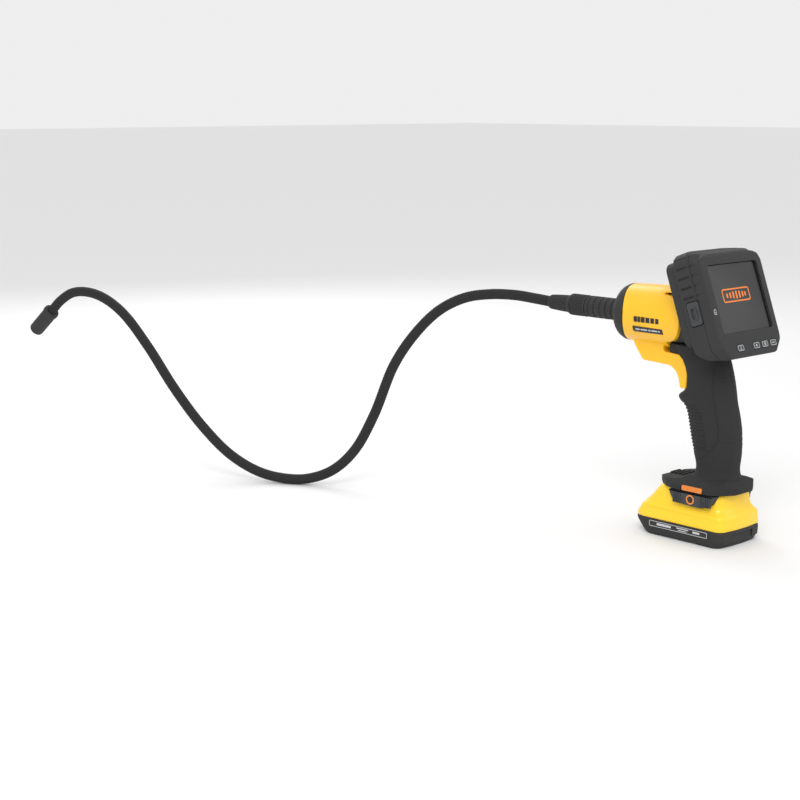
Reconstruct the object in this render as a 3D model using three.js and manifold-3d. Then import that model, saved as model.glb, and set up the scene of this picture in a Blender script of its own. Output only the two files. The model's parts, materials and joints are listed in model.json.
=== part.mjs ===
// Inspection camera: a pistol-grip body on a slide-in battery pack, a detachable tilted display,
// a locking cable connector, a gooseneck that holds its shape, and a small camera head.
// Millimetres. +Y points forward, +X to the user's right, +Z up.
// The origin is the middle of the battery's underside.

import * as THREE from 'three';
import { mergeVertices } from 'three/addons/utils/BufferGeometryUtils.js';
import Module from 'manifold-3d';

const wasm = await Module();
wasm.setup();

// ---------------------------------------------------------------- driving dimensions
const GAP = 0.3;
const WALL = 2.6;
const RIGHT = 1;
const LEFT = -1;
const SIDES = { left: LEFT, right: RIGHT };
const FAR = 400;

const BATTERY = { halfWidth: 32.5, rear: -50, front: 57, split: 16, top: 49.5, topHalfWidth: 26 };
const CAVITY = { halfWidth: 29, rear: -37, front: 34, top: 26.5 };
const STEM = { halfWidth: 10, rear: -27, front: -5, top: 69 };
const CELL = { radius: 9.1, length: 64.8, pitch: 18.9, y: -3, z: 11.9 };
const RELEASE = { rear: -38, front: 14.5, low: 36, high: 49, depth: 4.2, travel: 2.5, springY: -11 };

const TERMINAL = { shelf: 74, top: 81, bladeEnd: 50 };
const BLADE_X = [-4.5, 0, 4.5];
const SCREW_SPOTS = [-41, 39];
const GRIP_SCREWS = [[-12, 92], [-3, 152]];
const GRIP_SCREW_HEAD_X = 13;
const UNDER_SCREW = { y: 34, z: 173, headX: 10 };
const FOOT = { bottom: 50.1, top: 64 };
const HANDLE = { halfWidth: 17, sides: 20, squareness: 0.82 };
const BARREL = { radius: 30, frontRadius: 28.2, z: 210, rear: 10, skin: 4, noseFront: 96 };
const NOSE_SWEEP = { y: 27, radius: 59.5 };
const REAR_ARC = { y: 32.8, z: 210, radius: 22.5 };
const ROOF = { low: 234.5, rear: 11 };
const UNDER = { halfWidth: 14, rear: 11 };
const DIAL = { radius: 6.5, width: 7, y: 54, z: 170.3, pin: 1.6 };

const TILT = THREE.MathUtils.degToRad(19.9);
const WINDOW = { z: 1.5, width: 77, height: 65, thick: 1.6 };
const DISPLAY = { origin: [0, -35.5, 233.9], halfWidth: 47, bottom: -57, depth: 30, split: 11 };
const BUTTON = { z: -46, depth: 4.6, width: 10, height: 6.6, travel: 0.8 };
const MENU_X = [4.8, 18.2, 31.6];
const POWER_X = -20;
const DOCK = { halfWidth: 43.5, front: 40.5, low: -34, high: 47 };

const PORT = { y: 18.2, z: -6, width: 13, height: 22, thick: 1.8 };
const SCREEN_SCREWS = [[-36, -34], [36, -34], [-36, 36], [36, 36]];

const PLUG = { socketEnd: 144, collarEnd: 167, sleeveEnd: 197, pinRadius: 6, pinStart: 125, boreRadius: 6.4 };
const COLLAR = { radius: 11, boreRadius: 6.4 };
const NECK = { radius: 5.5, sides: 10 };
const HEAD = { radius: 8.5, length: 44, lens: 5.6 };

// The gooseneck's centreline: over a first crest, down to the floor, up to a second crest, down to the head.
const ROUTE = [
  [0, 197, 210], [-5, 214, 212], [-14, 235, 214.5], [-29, 258, 214.5], [-44, 279, 210], [-60, 300, 196.5],
  [-75, 320, 172], [-89, 339, 137], [-103, 357, 80], [-116, 374, 41], [-130, 394, 18], [-146, 417, 7.2],
  [-161, 440, 6], [-176, 466, 11.5], [-191, 497, 28], [-205, 530, 58], [-217, 564, 97], [-226, 600, 141],
  [-233, 636, 175], [-238, 668, 191], [-242, 697, 196], [-245, 725, 193], [-247, 750, 181], [-248, 766, 169],
];
// Arc lengths, measured from the plug, at which the gooseneck's flexing stretches begin and end.
const FLEX = { crest: [32, 106], rise: [478, 552], tip: [688, 760] };

const COLOUR = {
  yellow: 0xf7b50c, packYellow: 0xffc80a, black: 0x242427, rubber: 0x1d1d20, grey: 0x4a4b50, orange: 0xd9822b,
  glass: 0x0b0b0d, steel: 0xb9bbbd, board: 0x1f5a38, cell: 0x2f6fb0, copper: 0xc08a45, label: 0x17171a,
};

// ---------------------------------------------------------------- solids and meshes
const group = new THREE.Group();

function solidOf(geometry) {
  const bare = new THREE.BufferGeometry();
  bare.setAttribute('position', geometry.getAttribute('position'));
  if (geometry.index) bare.setIndex(geometry.index);
  const merged = mergeVertices(bare, 1e-4);
  const triangles = [];
  for (let i = 0; i < merged.index.count; i += 3) {
    const [a, b, c] = [0, 1, 2].map((k) => merged.index.getX(i + k));
    if (a !== b && b !== c && c !== a) triangles.push(a, b, c);
  }
  return new wasm.Manifold(new wasm.Mesh({
    numProp: 3,
    vertProperties: new Float32Array(merged.getAttribute('position').array),
    triVerts: new Uint32Array(triangles),
  }));
}

function geometryOf(solid) {
  const mesh = solid.getMesh();
  const geometry = new THREE.BufferGeometry();
  geometry.setAttribute('position', new THREE.BufferAttribute(new Float32Array(mesh.vertProperties), 3));
  geometry.setIndex(new THREE.BufferAttribute(new Uint32Array(mesh.triVerts), 1));
  return geometry;
}

function addPart(name, solid, colour, finish = {}, parent = group) {
  const material = new THREE.MeshStandardMaterial({ color: colour, roughness: 0.5, metalness: 0, ...finish });
  const mesh = new THREE.Mesh(geometryOf(solid), material);
  mesh.name = name;
  parent.add(mesh);
  return mesh;
}

function outline(points) {
  return new THREE.Shape(points.map(([u, v]) => new THREE.Vector2(u, v)));
}

// The same outline mirrored in its vertical axis: points run up or down one side only.
function mirrored(points) {
  const other = points.filter(([u]) => u !== 0).map(([u, v]) => [-u, v]).reverse();
  return outline([...points, ...other]);
}

function roundedRect(cu, cv, width, height, radius) {
  const shape = new THREE.Shape();
  const [u0, u1] = [cu - width / 2, cu + width / 2];
  const [v0, v1] = [cv - height / 2, cv + height / 2];
  shape.absarc(u1 - radius, v0 + radius, radius, -Math.PI / 2, 0);
  shape.absarc(u1 - radius, v1 - radius, radius, 0, Math.PI / 2);
  shape.absarc(u0 + radius, v1 - radius, radius, Math.PI / 2, Math.PI);
  shape.absarc(u0 + radius, v0 + radius, radius, Math.PI, Math.PI * 1.5);
  return shape;
}

// An outline extruded from one level to another, with its rims rounded and its edge moved inwards.
function extruded(shape, from, to, { round = 0, inset = 0, curve = 3 } = {}) {
  const options = { depth: to - from - 2 * round, bevelEnabled: round > 0 || inset !== 0, curveSegments: curve };
  options.bevelThickness = round;
  options.bevelSize = round;
  options.bevelOffset = -round - inset;
  options.bevelSegments = round > 0 ? 3 : 0;
  return new THREE.ExtrudeGeometry(shape, options).translate(0, 0, from + round);
}

const [X, Y, Z] = [new THREE.Vector3(1, 0, 0), new THREE.Vector3(0, 1, 0), new THREE.Vector3(0, 0, 1)];

// A side view, drawn as (y, z), extruded across the width.
function sideSlab(shape, x0, x1, options) {
  return solidOf(extruded(shape, x0, x1, options).applyMatrix4(new THREE.Matrix4().makeBasis(Y, Z, X)));
}

// A rear view, drawn as (x, z), extruded from y0 to y1.
function rearSlab(shape, y0, y1, options) {
  const turn = new THREE.Matrix4().makeBasis(X, Z, Y.clone().negate());
  return solidOf(extruded(shape, -y1, -y0, options).applyMatrix4(turn));
}

// A plan, drawn as (x, y), extruded from z0 to z1.
function planSlab(shape, z0, z1, options) {
  return solidOf(extruded(shape, z0, z1, options));
}

function block([x0, x1], [y0, y1], [z0, z1]) {
  const box = new THREE.BoxGeometry(x1 - x0, y1 - y0, z1 - z0);
  return solidOf(box.translate((x0 + x1) / 2, (y0 + y1) / 2, (z0 + z1) / 2));
}

function rod(radius, from, to, axis, segments = 20) {
  const [a, b] = [new THREE.Vector3(...from), new THREE.Vector3(...to)];
  const geometry = new THREE.CylinderGeometry(radius, radius, a.distanceTo(b), segments);
  geometry.applyQuaternion(new THREE.Quaternion().setFromUnitVectors(Y, axis));
  const middle = a.add(b).multiplyScalar(0.5);
  return solidOf(geometry.translate(middle.x, middle.y, middle.z));
}

// A profile of (radius, y) points, in order round the section, turned about the line x = 0, z = height.
function turned(points, height, segments = 24) {
  const area = points.reduce((sum, [r, y], i) => {
    const [r2, y2] = points[(i + 1) % points.length];
    return sum + r * y2 - r2 * y;
  }, 0);
  const ordered = area > 0 ? points : [...points].reverse();
  const profile = [...ordered, ordered[0]].map(([r, y]) => new THREE.Vector2(r, y));
  const solid = solidOf(new THREE.LatheGeometry(profile, segments));
  return solid.translate([0, 0, height]);
}

function halfSpace(side) {
  return side === LEFT ? block([-FAR, -GAP / 2], [-FAR, FAR], [-FAR, FAR])
    : block([GAP / 2, FAR], [-FAR, FAR], [-FAR, FAR]);
}

// A pan-head screw whose head points along -Y before it is turned.
function screw(radius, headRadius, length) {
  const head = rod(headRadius, [0, 0, 0], [0, 1.6, 0], Y, 10);
  const socket = rod(headRadius * 0.45, [0, -1, 0], [0, 0.9, 0], Y, 6);
  return head.add(rod(radius, [0, 1.5, 0], [0, length, 0], Y, 8)).subtract(socket);
}

// ---------------------------------------------------------------- battery pack
function batteryPlan() {
  const { halfWidth: w, rear, front } = BATTERY;
  return mirrored([[0, rear], [9, rear], [w - 3.5, rear + 2.2], [w, rear + 6.5], [w, front - 12],
    [w - 1.6, front - 6], [w - 6, front - 1.6], [w - 12, front], [0, front]]);
}

function makeBatteryLower() {
  const { halfWidth: w, rear, front, split } = BATTERY;
  const side = outline([[rear + 4, 0], [front - 12, 0], [front, split - 3], [front, split], [rear, split],
    [rear, 5], [rear + 4, 4]]);
  const body = planSlab(batteryPlan(), 0, split).intersect(sideSlab(side, -w, w));
  const tray = block([-w + WALL, w - WALL], [CAVITY.rear, CAVITY.front], [WALL, split + 1]);
  const reliefs = SCREW_SPOTS.map((y) => rod(3.6, [0, y, -1], [0, y, 3.3], Z, 16).add(
    rod(1.7, [0, y, 0], [0, y, split + 1], Z, 12)));
  return reliefs.reduce((solid, hole) => solid.subtract(hole), body.subtract(tray));
}

function makeBatteryUpper() {
  const { halfWidth: w, rear, front, split, top, topHalfWidth } = BATTERY;
  const low = split + GAP;
  const side = outline([[front, low], [front - 1, 21], [front - 7, 30], [front - 13, 40], [front - 24, top],
    [rear + 7.5, top], [rear + 6, 36], [rear, 30], [rear, low]]);
  const rearView = mirrored([[0, low], [w, low], [w, 29], [topHalfWidth + 1.5, 35], [topHalfWidth, top], [0, top]]);
  const stem = block([-STEM.halfWidth, STEM.halfWidth], [STEM.rear, STEM.front], [top - 1, STEM.top]);
  const outer = planSlab(batteryPlan(), low, top)
    .intersect(sideSlab(side, -w, w)).intersect(rearSlab(rearView, rear, front)).add(stem);
  const hollow = block([-CAVITY.halfWidth, CAVITY.halfWidth], [CAVITY.rear, CAVITY.front], [split - 1, CAVITY.top]);
  const contactRoom = block([-7.5, 7.5], [STEM.rear + WALL, STEM.front - WALL], [CAVITY.top - 0.5, STEM.top - WALL]);
  let solid = outer.subtract(hollow).subtract(contactRoom);
  for (const x of BLADE_X) {
    solid = solid.subtract(block([x - 0.9, x + 0.9], [STEM.rear + 5, STEM.front - 5], [60, STEM.top + 1]));
  }
  for (const y of SCREW_SPOTS) {
    solid = solid.subtract(rod(1.7, [0, y, split - 1], [0, y, split + 10], Z, 12));
  }
  for (const side of [LEFT, RIGHT]) {
    solid = solid.subtract(releasePocket(side));
  }
  return solid;
}

function releaseOutline(grow) {
  const { rear, front, low, high } = RELEASE;
  return outline([[front + grow, high], [front - 2 + grow, 44], [front - 7, low + 1.2 - grow],
    [-12, low - grow], [-25, low - grow], [rear + 3 - grow, 41], [rear - grow, high]]);
}

function releasePocket(side) {
  const inner = BATTERY.topHalfWidth - RELEASE.depth - RELEASE.travel;
  const [a, b] = side === LEFT ? [-FAR, -inner] : [inner, FAR];
  const mouth = sideSlab(releaseOutline(GAP), a, b);
  const well = rod(3.2, [side * (inner - 8), RELEASE.springY, 43], [side * (inner + 1), RELEASE.springY, 43], X, 14);
  return mouth.add(block([a, b], [RELEASE.rear - GAP, RELEASE.front + GAP], [RELEASE.high - 0.1, FAR])).add(well);
}

function makeReleaseButton(side) {
  const inner = BATTERY.topHalfWidth - RELEASE.depth;
  const reach = BATTERY.halfWidth + 0.8;
  const [a, b] = side === LEFT ? [-reach, -inner] : [inner, reach];
  return sideSlab(releaseOutline(0), a, b, { inset: 0.05 });
}

// A coil spring lying along X between the bottom of its well and the button.
function makeReleaseSpring(side) {
  const inner = BATTERY.topHalfWidth - RELEASE.depth - GAP;
  const [start, turns, stepsPerTurn] = [inner - RELEASE.travel - 7.5, 3, 7];
  const reach = inner - start - 1;
  const points = [];
  for (let i = 0; i <= turns * stepsPerTurn; i += 1) {
    const angle = (i / stepsPerTurn) * Math.PI * 2;
    const along = start + 0.6 + (reach * i) / (turns * stepsPerTurn);
    points.push(new THREE.Vector3(side * along, RELEASE.springY + 2.3 * Math.cos(angle), 43 + 2.3 * Math.sin(angle)));
  }
  return tube(new THREE.CatmullRomCurve3(points), 0.4, turns * stepsPerTurn, 3);
}

function tube(curve, radius, steps, sides) {
  const section = new THREE.Shape();
  section.absarc(0, 0, radius, 0, Math.PI * 2);
  const options = { steps, extrudePath: curve, bevelEnabled: false, curveSegments: sides };
  return solidOf(new THREE.ExtrudeGeometry(section, options));
}

function makeCell(index) {
  const x = (index - 1) * CELL.pitch;
  const [y0, y1] = [CELL.y - CELL.length / 2, CELL.y + CELL.length / 2];
  return rod(CELL.radius, [x, y0, CELL.z], [x, y1 - 1, CELL.z], Y, 20)
    .add(rod(3, [x, y1 - 1.5, CELL.z], [x, y1, CELL.z], Y, 12));
}

function makeContactBlock() {
  const base = block([-7, 7], [STEM.rear + WALL + 0.4, STEM.front - WALL - 0.4], [24.2, 58]);
  return base.subtract(block([-5.5, 5.5], [STEM.rear + 5, STEM.front - 5], [44, 59]));
}

function makeBattery() {
  const body = BATTERY;
  addPart('battery_lower_case', makeBatteryLower(), COLOUR.black, { roughness: 0.45 });
  addPart('battery_upper_case', makeBatteryUpper(), COLOUR.packYellow, { roughness: 0.38 });
  for (const [name, side] of Object.entries(SIDES)) {
    const [a, b] = [body.halfWidth + 0.1, body.halfWidth + 0.5].map((x) => x * side).sort((p, q) => p - q);
    const label = sideSlab(roundedRect(1.5, 11.4, 70, 7.4, 0.8), a, b);
    addPart(`battery_label_${name}`, label, COLOUR.label, { roughness: 0.3 });
    addPart(`release_button_${name}`, makeReleaseButton(side), COLOUR.grey, { roughness: 0.5 });
    addPart(`release_spring_${name}`, makeReleaseSpring(side), COLOUR.steel, { metalness: 1, roughness: 0.3 });
  }
  for (const index of [0, 1, 2]) {
    addPart(`battery_cell_${index + 1}`, makeCell(index), COLOUR.cell, { roughness: 0.35 });
  }
  addPart('battery_board', block([-27, 27], [-34, 31], [22.3, 23.7]), COLOUR.board);
  addPart('battery_contact_block', makeContactBlock(), COLOUR.black);
  SCREW_SPOTS.forEach((y, index) => {
    const upright = screw(1.4, 3.1, 20).rotate([90, 0, 0]).translate([0, y, 1.4]);
    addPart(`battery_screw_${index + 1}`, upright, COLOUR.steel, { metalness: 1 });
  });
}

// ---------------------------------------------------------------- handle, foot and barrel
// The handle's height, front edge and rear edge, from the foot to the barrel.
const HANDLE_PROFILE = [
  [60, 0.5, -38.5], [74, 2, -40], [84, 5.5, -41.5], [97, 9.5, -42], [110, 12.5, -41], [121, 15, -38.8],
  [128, 18.5, -37], [133, 25.5, -35.8], [137, 26.5, -35], [141, 19, -34], [147, 17, -32.8], [158, 18, -30.4],
  [170, 26, -27], [186, 34, -21],
];

// A closed drum whose rings are moved out to the handle's rounded sections.
function handleSolid(inset) {
  const rings = HANDLE_PROFILE.length - 1;
  const drum = new THREE.CylinderGeometry(1, 1, rings, HANDLE.sides, rings).rotateX(Math.PI / 2);
  const place = drum.getAttribute('position');
  for (let i = 0; i < place.count; i += 1) {
    const [z, front, rear] = HANDLE_PROFILE[Math.round(place.getZ(i) + rings / 2)];
    const [x, y] = [place.getX(i), place.getY(i)];
    const onAxis = Math.hypot(x, y) < 0.5;
    const across = onAxis ? 0 : Math.sign(x) * Math.abs(x) ** HANDLE.squareness;
    const along = onAxis ? 0 : Math.sign(y) * Math.abs(y) ** HANDLE.squareness;
    place.setXYZ(i, across * (HANDLE.halfWidth - inset),
      (front + rear) / 2 + along * ((front - rear) / 2 - inset), z);
  }
  return solidOf(drum);
}

function footSolid() {
  const { bottom, top } = FOOT;
  const plan = mirrored([[0, -54], [9, -52], [26, -42], [33.4, -34], [33.4, 10], [29, 20], [21, 30], [12, 38],
    [0, 41.5]]);
  const side = outline([[41.5, bottom], [41.5, 53.5], [38, 57], [32, 60], [9, 61], [2, top], [-39, top],
    [-53, 55.4], [-54, 53], [-49, bottom]]);
  const rearView = mirrored([[0, bottom], [33.4, bottom], [33.4, 55.8], [17.5, top], [0, top]]);
  return planSlab(plan, bottom, top).intersect(sideSlab(side, -34, 34)).intersect(rearSlab(rearView, -55, 47));
}

function makeGrip(side) {
  const stemRoom = block([-STEM.halfWidth - 1, STEM.halfWidth + 1], [STEM.rear - 1, STEM.front + 1],
    [FOOT.bottom - 1, TERMINAL.shelf + 1]);
  const barrelRoom = rod(BARREL.radius + GAP, [0, -FAR, BARREL.z], [0, FAR, BARREL.z], Y, 36);
  const hollow = handleSolid(WALL).intersect(block([-FAR, FAR], [-FAR, FAR], [TERMINAL.shelf, FAR]));
  const solid = handleSolid(0).add(footSolid()).subtract(hollow).subtract(stemRoom);
  const bosses = GRIP_SCREWS.map(([y, z]) => rod(3.6, [-15, y, z], [15, y, z], X, 14));
  const holes = GRIP_SCREWS.map(([y, z]) => screwRoom(y, z, GRIP_SCREW_HEAD_X));
  const bored = bosses.reduce((sum, boss) => sum.add(boss), solid);
  const cut = holes.reduce((sum, hole) => sum.subtract(hole), bored);
  return cut.subtract(barrelRoom).subtract(displayRoom()).subtract(underRoom()).intersect(halfSpace(side));
}

// The bore for a screw that goes in from the right.
function screwRoom(y, z, headX) {
  return rod(3.4, [headX - GAP, y, z], [FAR, y, z], X, 14).add(rod(1.7, [-9, y, z], [headX, y, z], X, 12));
}

function displayRoom() {
  const room = block([-FAR, FAR], [-FAR, DOCK.front + GAP], [-FAR, FAR]);
  return placedInDisplay(room).intersect(block([-FAR, FAR], [-FAR, FAR], [181, FAR]));
}

function placedInDisplay(solid) {
  return solid.rotate([-THREE.MathUtils.radToDeg(TILT), 0, 0]).translate(DISPLAY.origin);
}

// The yellow block under the barrel, with the strip that runs down to the finger stop.
function underSide() {
  return outline([[UNDER.rear + 1, 144], [18.8, 144], [21, 154], [24.5, 160], [31, 164.4], [49, 165.4], [64, 166],
    [68, 171], [76, 182], [76, 190], [40.5, 190], [39.5, 177.2], [21, 176], [15.5, 172], [12, 165],
    [UNDER.rear, 157]]);
}

function underRoom() {
  return sideSlab(underSide(), -FAR, FAR, { inset: -GAP });
}

function noseSweep(grow) {
  const { y, radius } = NOSE_SWEEP;
  const drum = rod(radius + grow, [0, y, 100], [0, y, 300], Z, 48);
  return drum.add(block([-FAR, FAR], [-FAR, y], [100, 300]));
}

function makeHousing(side) {
  const { radius, frontRadius, z, rear, skin } = BARREL;
  const skinSolid = turned([[0, rear], [radius, rear], [radius, 42], [frontRadius, 90], [0, 90]], z, 40)
    .intersect(noseSweep(0));
  const arc = rod(REAR_ARC.radius, [-FAR, REAR_ARC.y, REAR_ARC.z], [FAR, REAR_ARC.y, REAR_ARC.z], X, 32);
  const ahead = block([-FAR, FAR], [REAR_ARC.y + 4, FAR], [0, FAR])
    .add(block([-FAR, FAR], [REAR_ARC.y, FAR], [0, REAR_ARC.z + REAR_ARC.radius]));
  const roof = block([-FAR, FAR], [ROOF.rear, FAR], [ROOF.low, FAR]);
  const under = sideSlab(underSide(), -UNDER.halfWidth, UNDER.halfWidth, { round: 2.5 });
  const inside = rod(radius - skin, [0, -FAR, z], [0, FAR, z], Y, 32);
  const underRoomIn = block([-UNDER.halfWidth + 3, UNDER.halfWidth - 3], [40, 62], [169, 190]);
  const dialSlot = rod(DIAL.radius + 1, [-DIAL.width / 2 - GAP, DIAL.y, DIAL.z],
    [DIAL.width / 2 + GAP, DIAL.y, DIAL.z], X, 24);
  const pinHole = rod(DIAL.pin + 0.2, [-UNDER.halfWidth + 3, DIAL.y, DIAL.z],
    [UNDER.halfWidth - 3, DIAL.y, DIAL.z], X, 14);
  const shell = skinSolid.intersect(arc.add(ahead).add(roof)).add(under).subtract(inside)
    .subtract(underRoomIn).subtract(dialSlot).subtract(pinHole).subtract(displayRoom());
  return shell.subtract(screwRoom(UNDER_SCREW.y, UNDER_SCREW.z, UNDER_SCREW.headX)).intersect(halfSpace(side));
}

function makeNoseRing() {
  const { radius, frontRadius: rim, z, skin, noseFront } = BARREL;
  const outer = [[12.5, 70], [rim + 0.7, 70], [rim + 0.5, 84], [rim - 0.2, 89], [rim - 1.8, 92.4], [rim - 4.6, 95],
    [rim - 8, noseFront], [12.5, noseFront]];
  const cup = turned([[0, 60], [radius - skin - GAP, 60], [radius - skin - GAP, 85], [20.5, 91], [0, 91]], z);
  return turned(outer, z, 36).subtract(noseSweep(GAP)).subtract(cup);
}

function makeCableSocket() {
  const profile = [[0, 92], [0, 86.5], [20, 86.5], [20, 90.7], [12.2, 90.7], [12.2, 97], [10.5, 98]];
  for (let y = 101; y < 138; y += 8) {
    profile.push([10.5, y + 2.6], [9.7, y + 3], [9.7, y + 4], [10.5, y + 4.4]);
  }
  profile.push([10.5, 143.2], [9.7, PLUG.socketEnd], [PLUG.boreRadius, PLUG.socketEnd], [PLUG.boreRadius, 120],
    [0, 120]);
  return turned(profile, BARREL.z, 20);
}

// The black core behind the yellow skin, the neck above the handle and the plate that the display slides onto.
function makeDockBracket() {
  const { z, radius, skin } = BARREL;
  const core = rod(radius - skin - GAP, [0, -20, z], [0, 40, z], Y, 40);
  const hollow = rod(radius - skin - 5, [0, 20, z], [0, 41, z], Y, 32);
  const { halfWidth, front, low, high } = DOCK;
  const plan = roundedRect(0, (low + high) / 2, halfWidth * 2, high - low, 9);
  const plate = placedInDisplay(rearSlab(plan, DISPLAY.depth + 0.6, front));
  const rails = [LEFT, RIGHT].map((side) => placedInDisplay(
    block([side * 24 - 2.5, side * 24 + 2.5], [DISPLAY.depth - 3.4, DISPLAY.depth + 1], [low + 8, high - 10])));
  const ahead = placedInDisplay(block([-FAR, FAR], [DISPLAY.depth + 0.6, FAR], [-FAR, FAR]));
  const bracket = core.intersect(ahead).subtract(hollow).add(plate);
  return rails.reduce((sum, rail) => sum.add(rail), bracket).subtract(housingClear());
}

// Room for the yellow roof and rear arc, which come back over the plate's foot.
function housingClear() {
  const { radius, skin, z, rear } = BARREL;
  const tubeWall = rod(radius + GAP, [0, rear - GAP, z], [0, FAR, z], Y, 40)
    .subtract(rod(radius - skin - GAP - 0.05, [0, -FAR, z], [0, FAR, z], Y, 40));
  const behind = placedInDisplay(block([-FAR, FAR], [-FAR, DOCK.front], [-FAR, FAR]));
  return tubeWall.subtract(behind);
}

function makeTerminalBlock() {
  const { shelf, top, bladeEnd } = TERMINAL;
  let solid = block([-STEM.halfWidth - 1.5, STEM.halfWidth + 1.5], [STEM.rear - 4, STEM.front - 3],
    [shelf + GAP, top]);
  for (const x of BLADE_X) {
    solid = solid.add(block([x - 0.4, x + 0.4], [STEM.rear + 6.5, STEM.front - 6.5], [bladeEnd, shelf + 1]));
  }
  return solid;
}

function makeTool() {
  for (const [name, side] of Object.entries(SIDES)) {
    addPart(`housing_${name}`, makeHousing(side), COLOUR.yellow, { roughness: 0.4 });
    addPart(`grip_${name}`, makeGrip(side), COLOUR.rubber, { roughness: 0.7 });
    const [a, b] = [33.5, 33.9].map((x) => x * side).sort((p, q) => p - q);
    addPart(`foot_badge_${name}`, sideSlab(roundedRect(-14, 53.4, 23, 4.8, 1.6), a, b), COLOUR.orange);
  }
  addPart('nose_ring', makeNoseRing(), COLOUR.rubber, { roughness: 0.6 });
  addPart('cable_socket', makeCableSocket(), COLOUR.black, { roughness: 0.35 });
  addPart('dock_bracket', makeDockBracket(), COLOUR.black, { roughness: 0.5 });
  addPart('main_board', block([-22, 22], [44, 84], [203, 204.6]), COLOUR.board);
  addPart('terminal_block', makeTerminalBlock(), COLOUR.copper);
  const dial = rod(DIAL.radius, [-DIAL.width / 2, DIAL.y, DIAL.z], [DIAL.width / 2, DIAL.y, DIAL.z], X, 24);
  const pin = rod(DIAL.pin, [-9.5, DIAL.y, DIAL.z], [9.5, DIAL.y, DIAL.z], X, 12);
  addPart('dimmer_dial', dial.add(pin), COLOUR.black, { roughness: 0.6 });
  const screws = [...GRIP_SCREWS.map(([y, z]) => [y, z, GRIP_SCREW_HEAD_X]),
    [UNDER_SCREW.y, UNDER_SCREW.z, UNDER_SCREW.headX]];
  screws.forEach(([y, z, headX], index) => {
    const across = screw(1.4, 3.1, 16).rotate([0, 0, 90]).translate([headX + 1.7, y, z]);
    addPart(`housing_screw_${index + 1}`, across, COLOUR.steel, { metalness: 1 });
  });
}

// ---------------------------------------------------------------- display unit (in its own tilted frame)
// There, y runs from the window into the unit and z up its face; the window's centre is at z = 0.
function displayFace() {
  const { halfWidth: w, bottom } = DISPLAY;
  return mirrored([[0, bottom], [w - 12, bottom], [w - 1, bottom + 12], [w, bottom + 18], [w, 33], [w - 3, 39.5],
    [w - 9, 43], [w - 24, 45.5], [0, 47]]);
}

function displaySide(inset) {
  const { depth, bottom } = DISPLAY;
  return outline([[-2 + inset, bottom + inset], [-2 + inset, 40 - inset], [0.5 + inset, 43.5 - inset],
    [depth - 4, 54 - inset], [depth - inset, 51 - inset], [depth - inset, -42 + inset],
    [depth - 7 - inset, bottom + 5 + inset], [2, bottom + inset]]);
}

function displayBody(inset) {
  const { halfWidth, depth } = DISPLAY;
  const tall = mirrored([[0, -60], [halfWidth - 12, -57], [halfWidth - 1, -45], [halfWidth, -39], [halfWidth, 40],
    [halfWidth - 2.5, 46], [halfWidth - 8, 49.8], [24, 52.4], [0, 54]]);
  const body = rearSlab(tall, -3, depth + 1, { inset: inset + 0.001 })
    .intersect(sideSlab(displaySide(inset), -halfWidth, halfWidth));
  const face = rearSlab(displayFace(), -3, 6, { inset: inset + 0.001 }).add(
    block([-FAR, FAR], [5.9, FAR], [-FAR, FAR]));
  return body.intersect(face);
}

function makeBezel() {
  const front = block([-FAR, FAR], [-FAR, DISPLAY.split - GAP], [-FAR, FAR]);
  const { z, width, height } = WINDOW;
  const recess = rearSlab(roundedRect(0, z, width + 2 * GAP, height + 2 * GAP, 3), -FAR, 0);
  const seat = rearSlab(roundedRect(0, z, width + 2 * GAP, height + 2 * GAP, 3), -0.1, WINDOW.thick + GAP);
  const view = rearSlab(roundedRect(0, z, width - 3, height - 3, 3), 0, 20);
  const inner = displayBody(WALL).intersect(block([-FAR, FAR], [3.4, FAR], [-FAR, FAR]));
  let solid = displayBody(0).intersect(front).subtract(inner).subtract(recess).subtract(seat).subtract(view);
  for (const bx of [POWER_X, ...MENU_X]) {
    solid = solid.subtract(rearSlab(roundedRect(bx, BUTTON.z, BUTTON.width + 2 * GAP, BUTTON.height + 2 * GAP,
      1.5), -FAR, 6));
  }
  return solid.subtract(portRoom(GAP));
}

function makeRearCover() {
  const back = block([-FAR, FAR], [DISPLAY.split, FAR], [-FAR, FAR]);
  let solid = displayBody(0).subtract(displayBody(WALL)).intersect(back);
  for (const side of [LEFT, RIGHT]) {
    solid = solid.subtract(block([side * 24 - 3, side * 24 + 3], [DISPLAY.depth - 4, FAR], [-FAR, DOCK.high - 9]));
  }
  for (const [x, z] of SCREEN_SCREWS) {
    solid = solid.add(rod(4.4, [x, DISPLAY.split + 1, z], [x, DISPLAY.depth - 1, z], Y, 14))
      .subtract(rod(3.4, [x, DISPLAY.depth - 3.2, z], [x, DISPLAY.depth + 2, z], Y, 14))
      .subtract(rod(1.7, [x, 0, z], [x, DISPLAY.depth, z], Y, 12));
  }
  return solid.subtract(portRoom(GAP));
}

function portRoom(grow) {
  const { halfWidth } = DISPLAY;
  const plate = sideSlab(roundedRect(PORT.y, PORT.z, PORT.width + 2 * grow, PORT.height + 2 * grow, 2),
    -halfWidth - 1, -halfWidth + PORT.thick + grow);
  return plate.add(sideSlab(roundedRect(PORT.y, PORT.z, 8, 15, 2), -halfWidth, -halfWidth + WALL + 1));
}

function makePortCover() {
  const { halfWidth } = DISPLAY;
  const plate = sideSlab(roundedRect(PORT.y, PORT.z, PORT.width, PORT.height, 2),
    -halfWidth, -halfWidth + PORT.thick);
  const ring = sideSlab(roundedRect(PORT.y, PORT.z, 9, 16, 4.2), -halfWidth - 0.9, -halfWidth + 0.5)
    .subtract(sideSlab(roundedRect(PORT.y, PORT.z, 4.6, 10.5, 2.2), -halfWidth - 2, -halfWidth - 0.1));
  return plate.add(ring);
}

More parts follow.
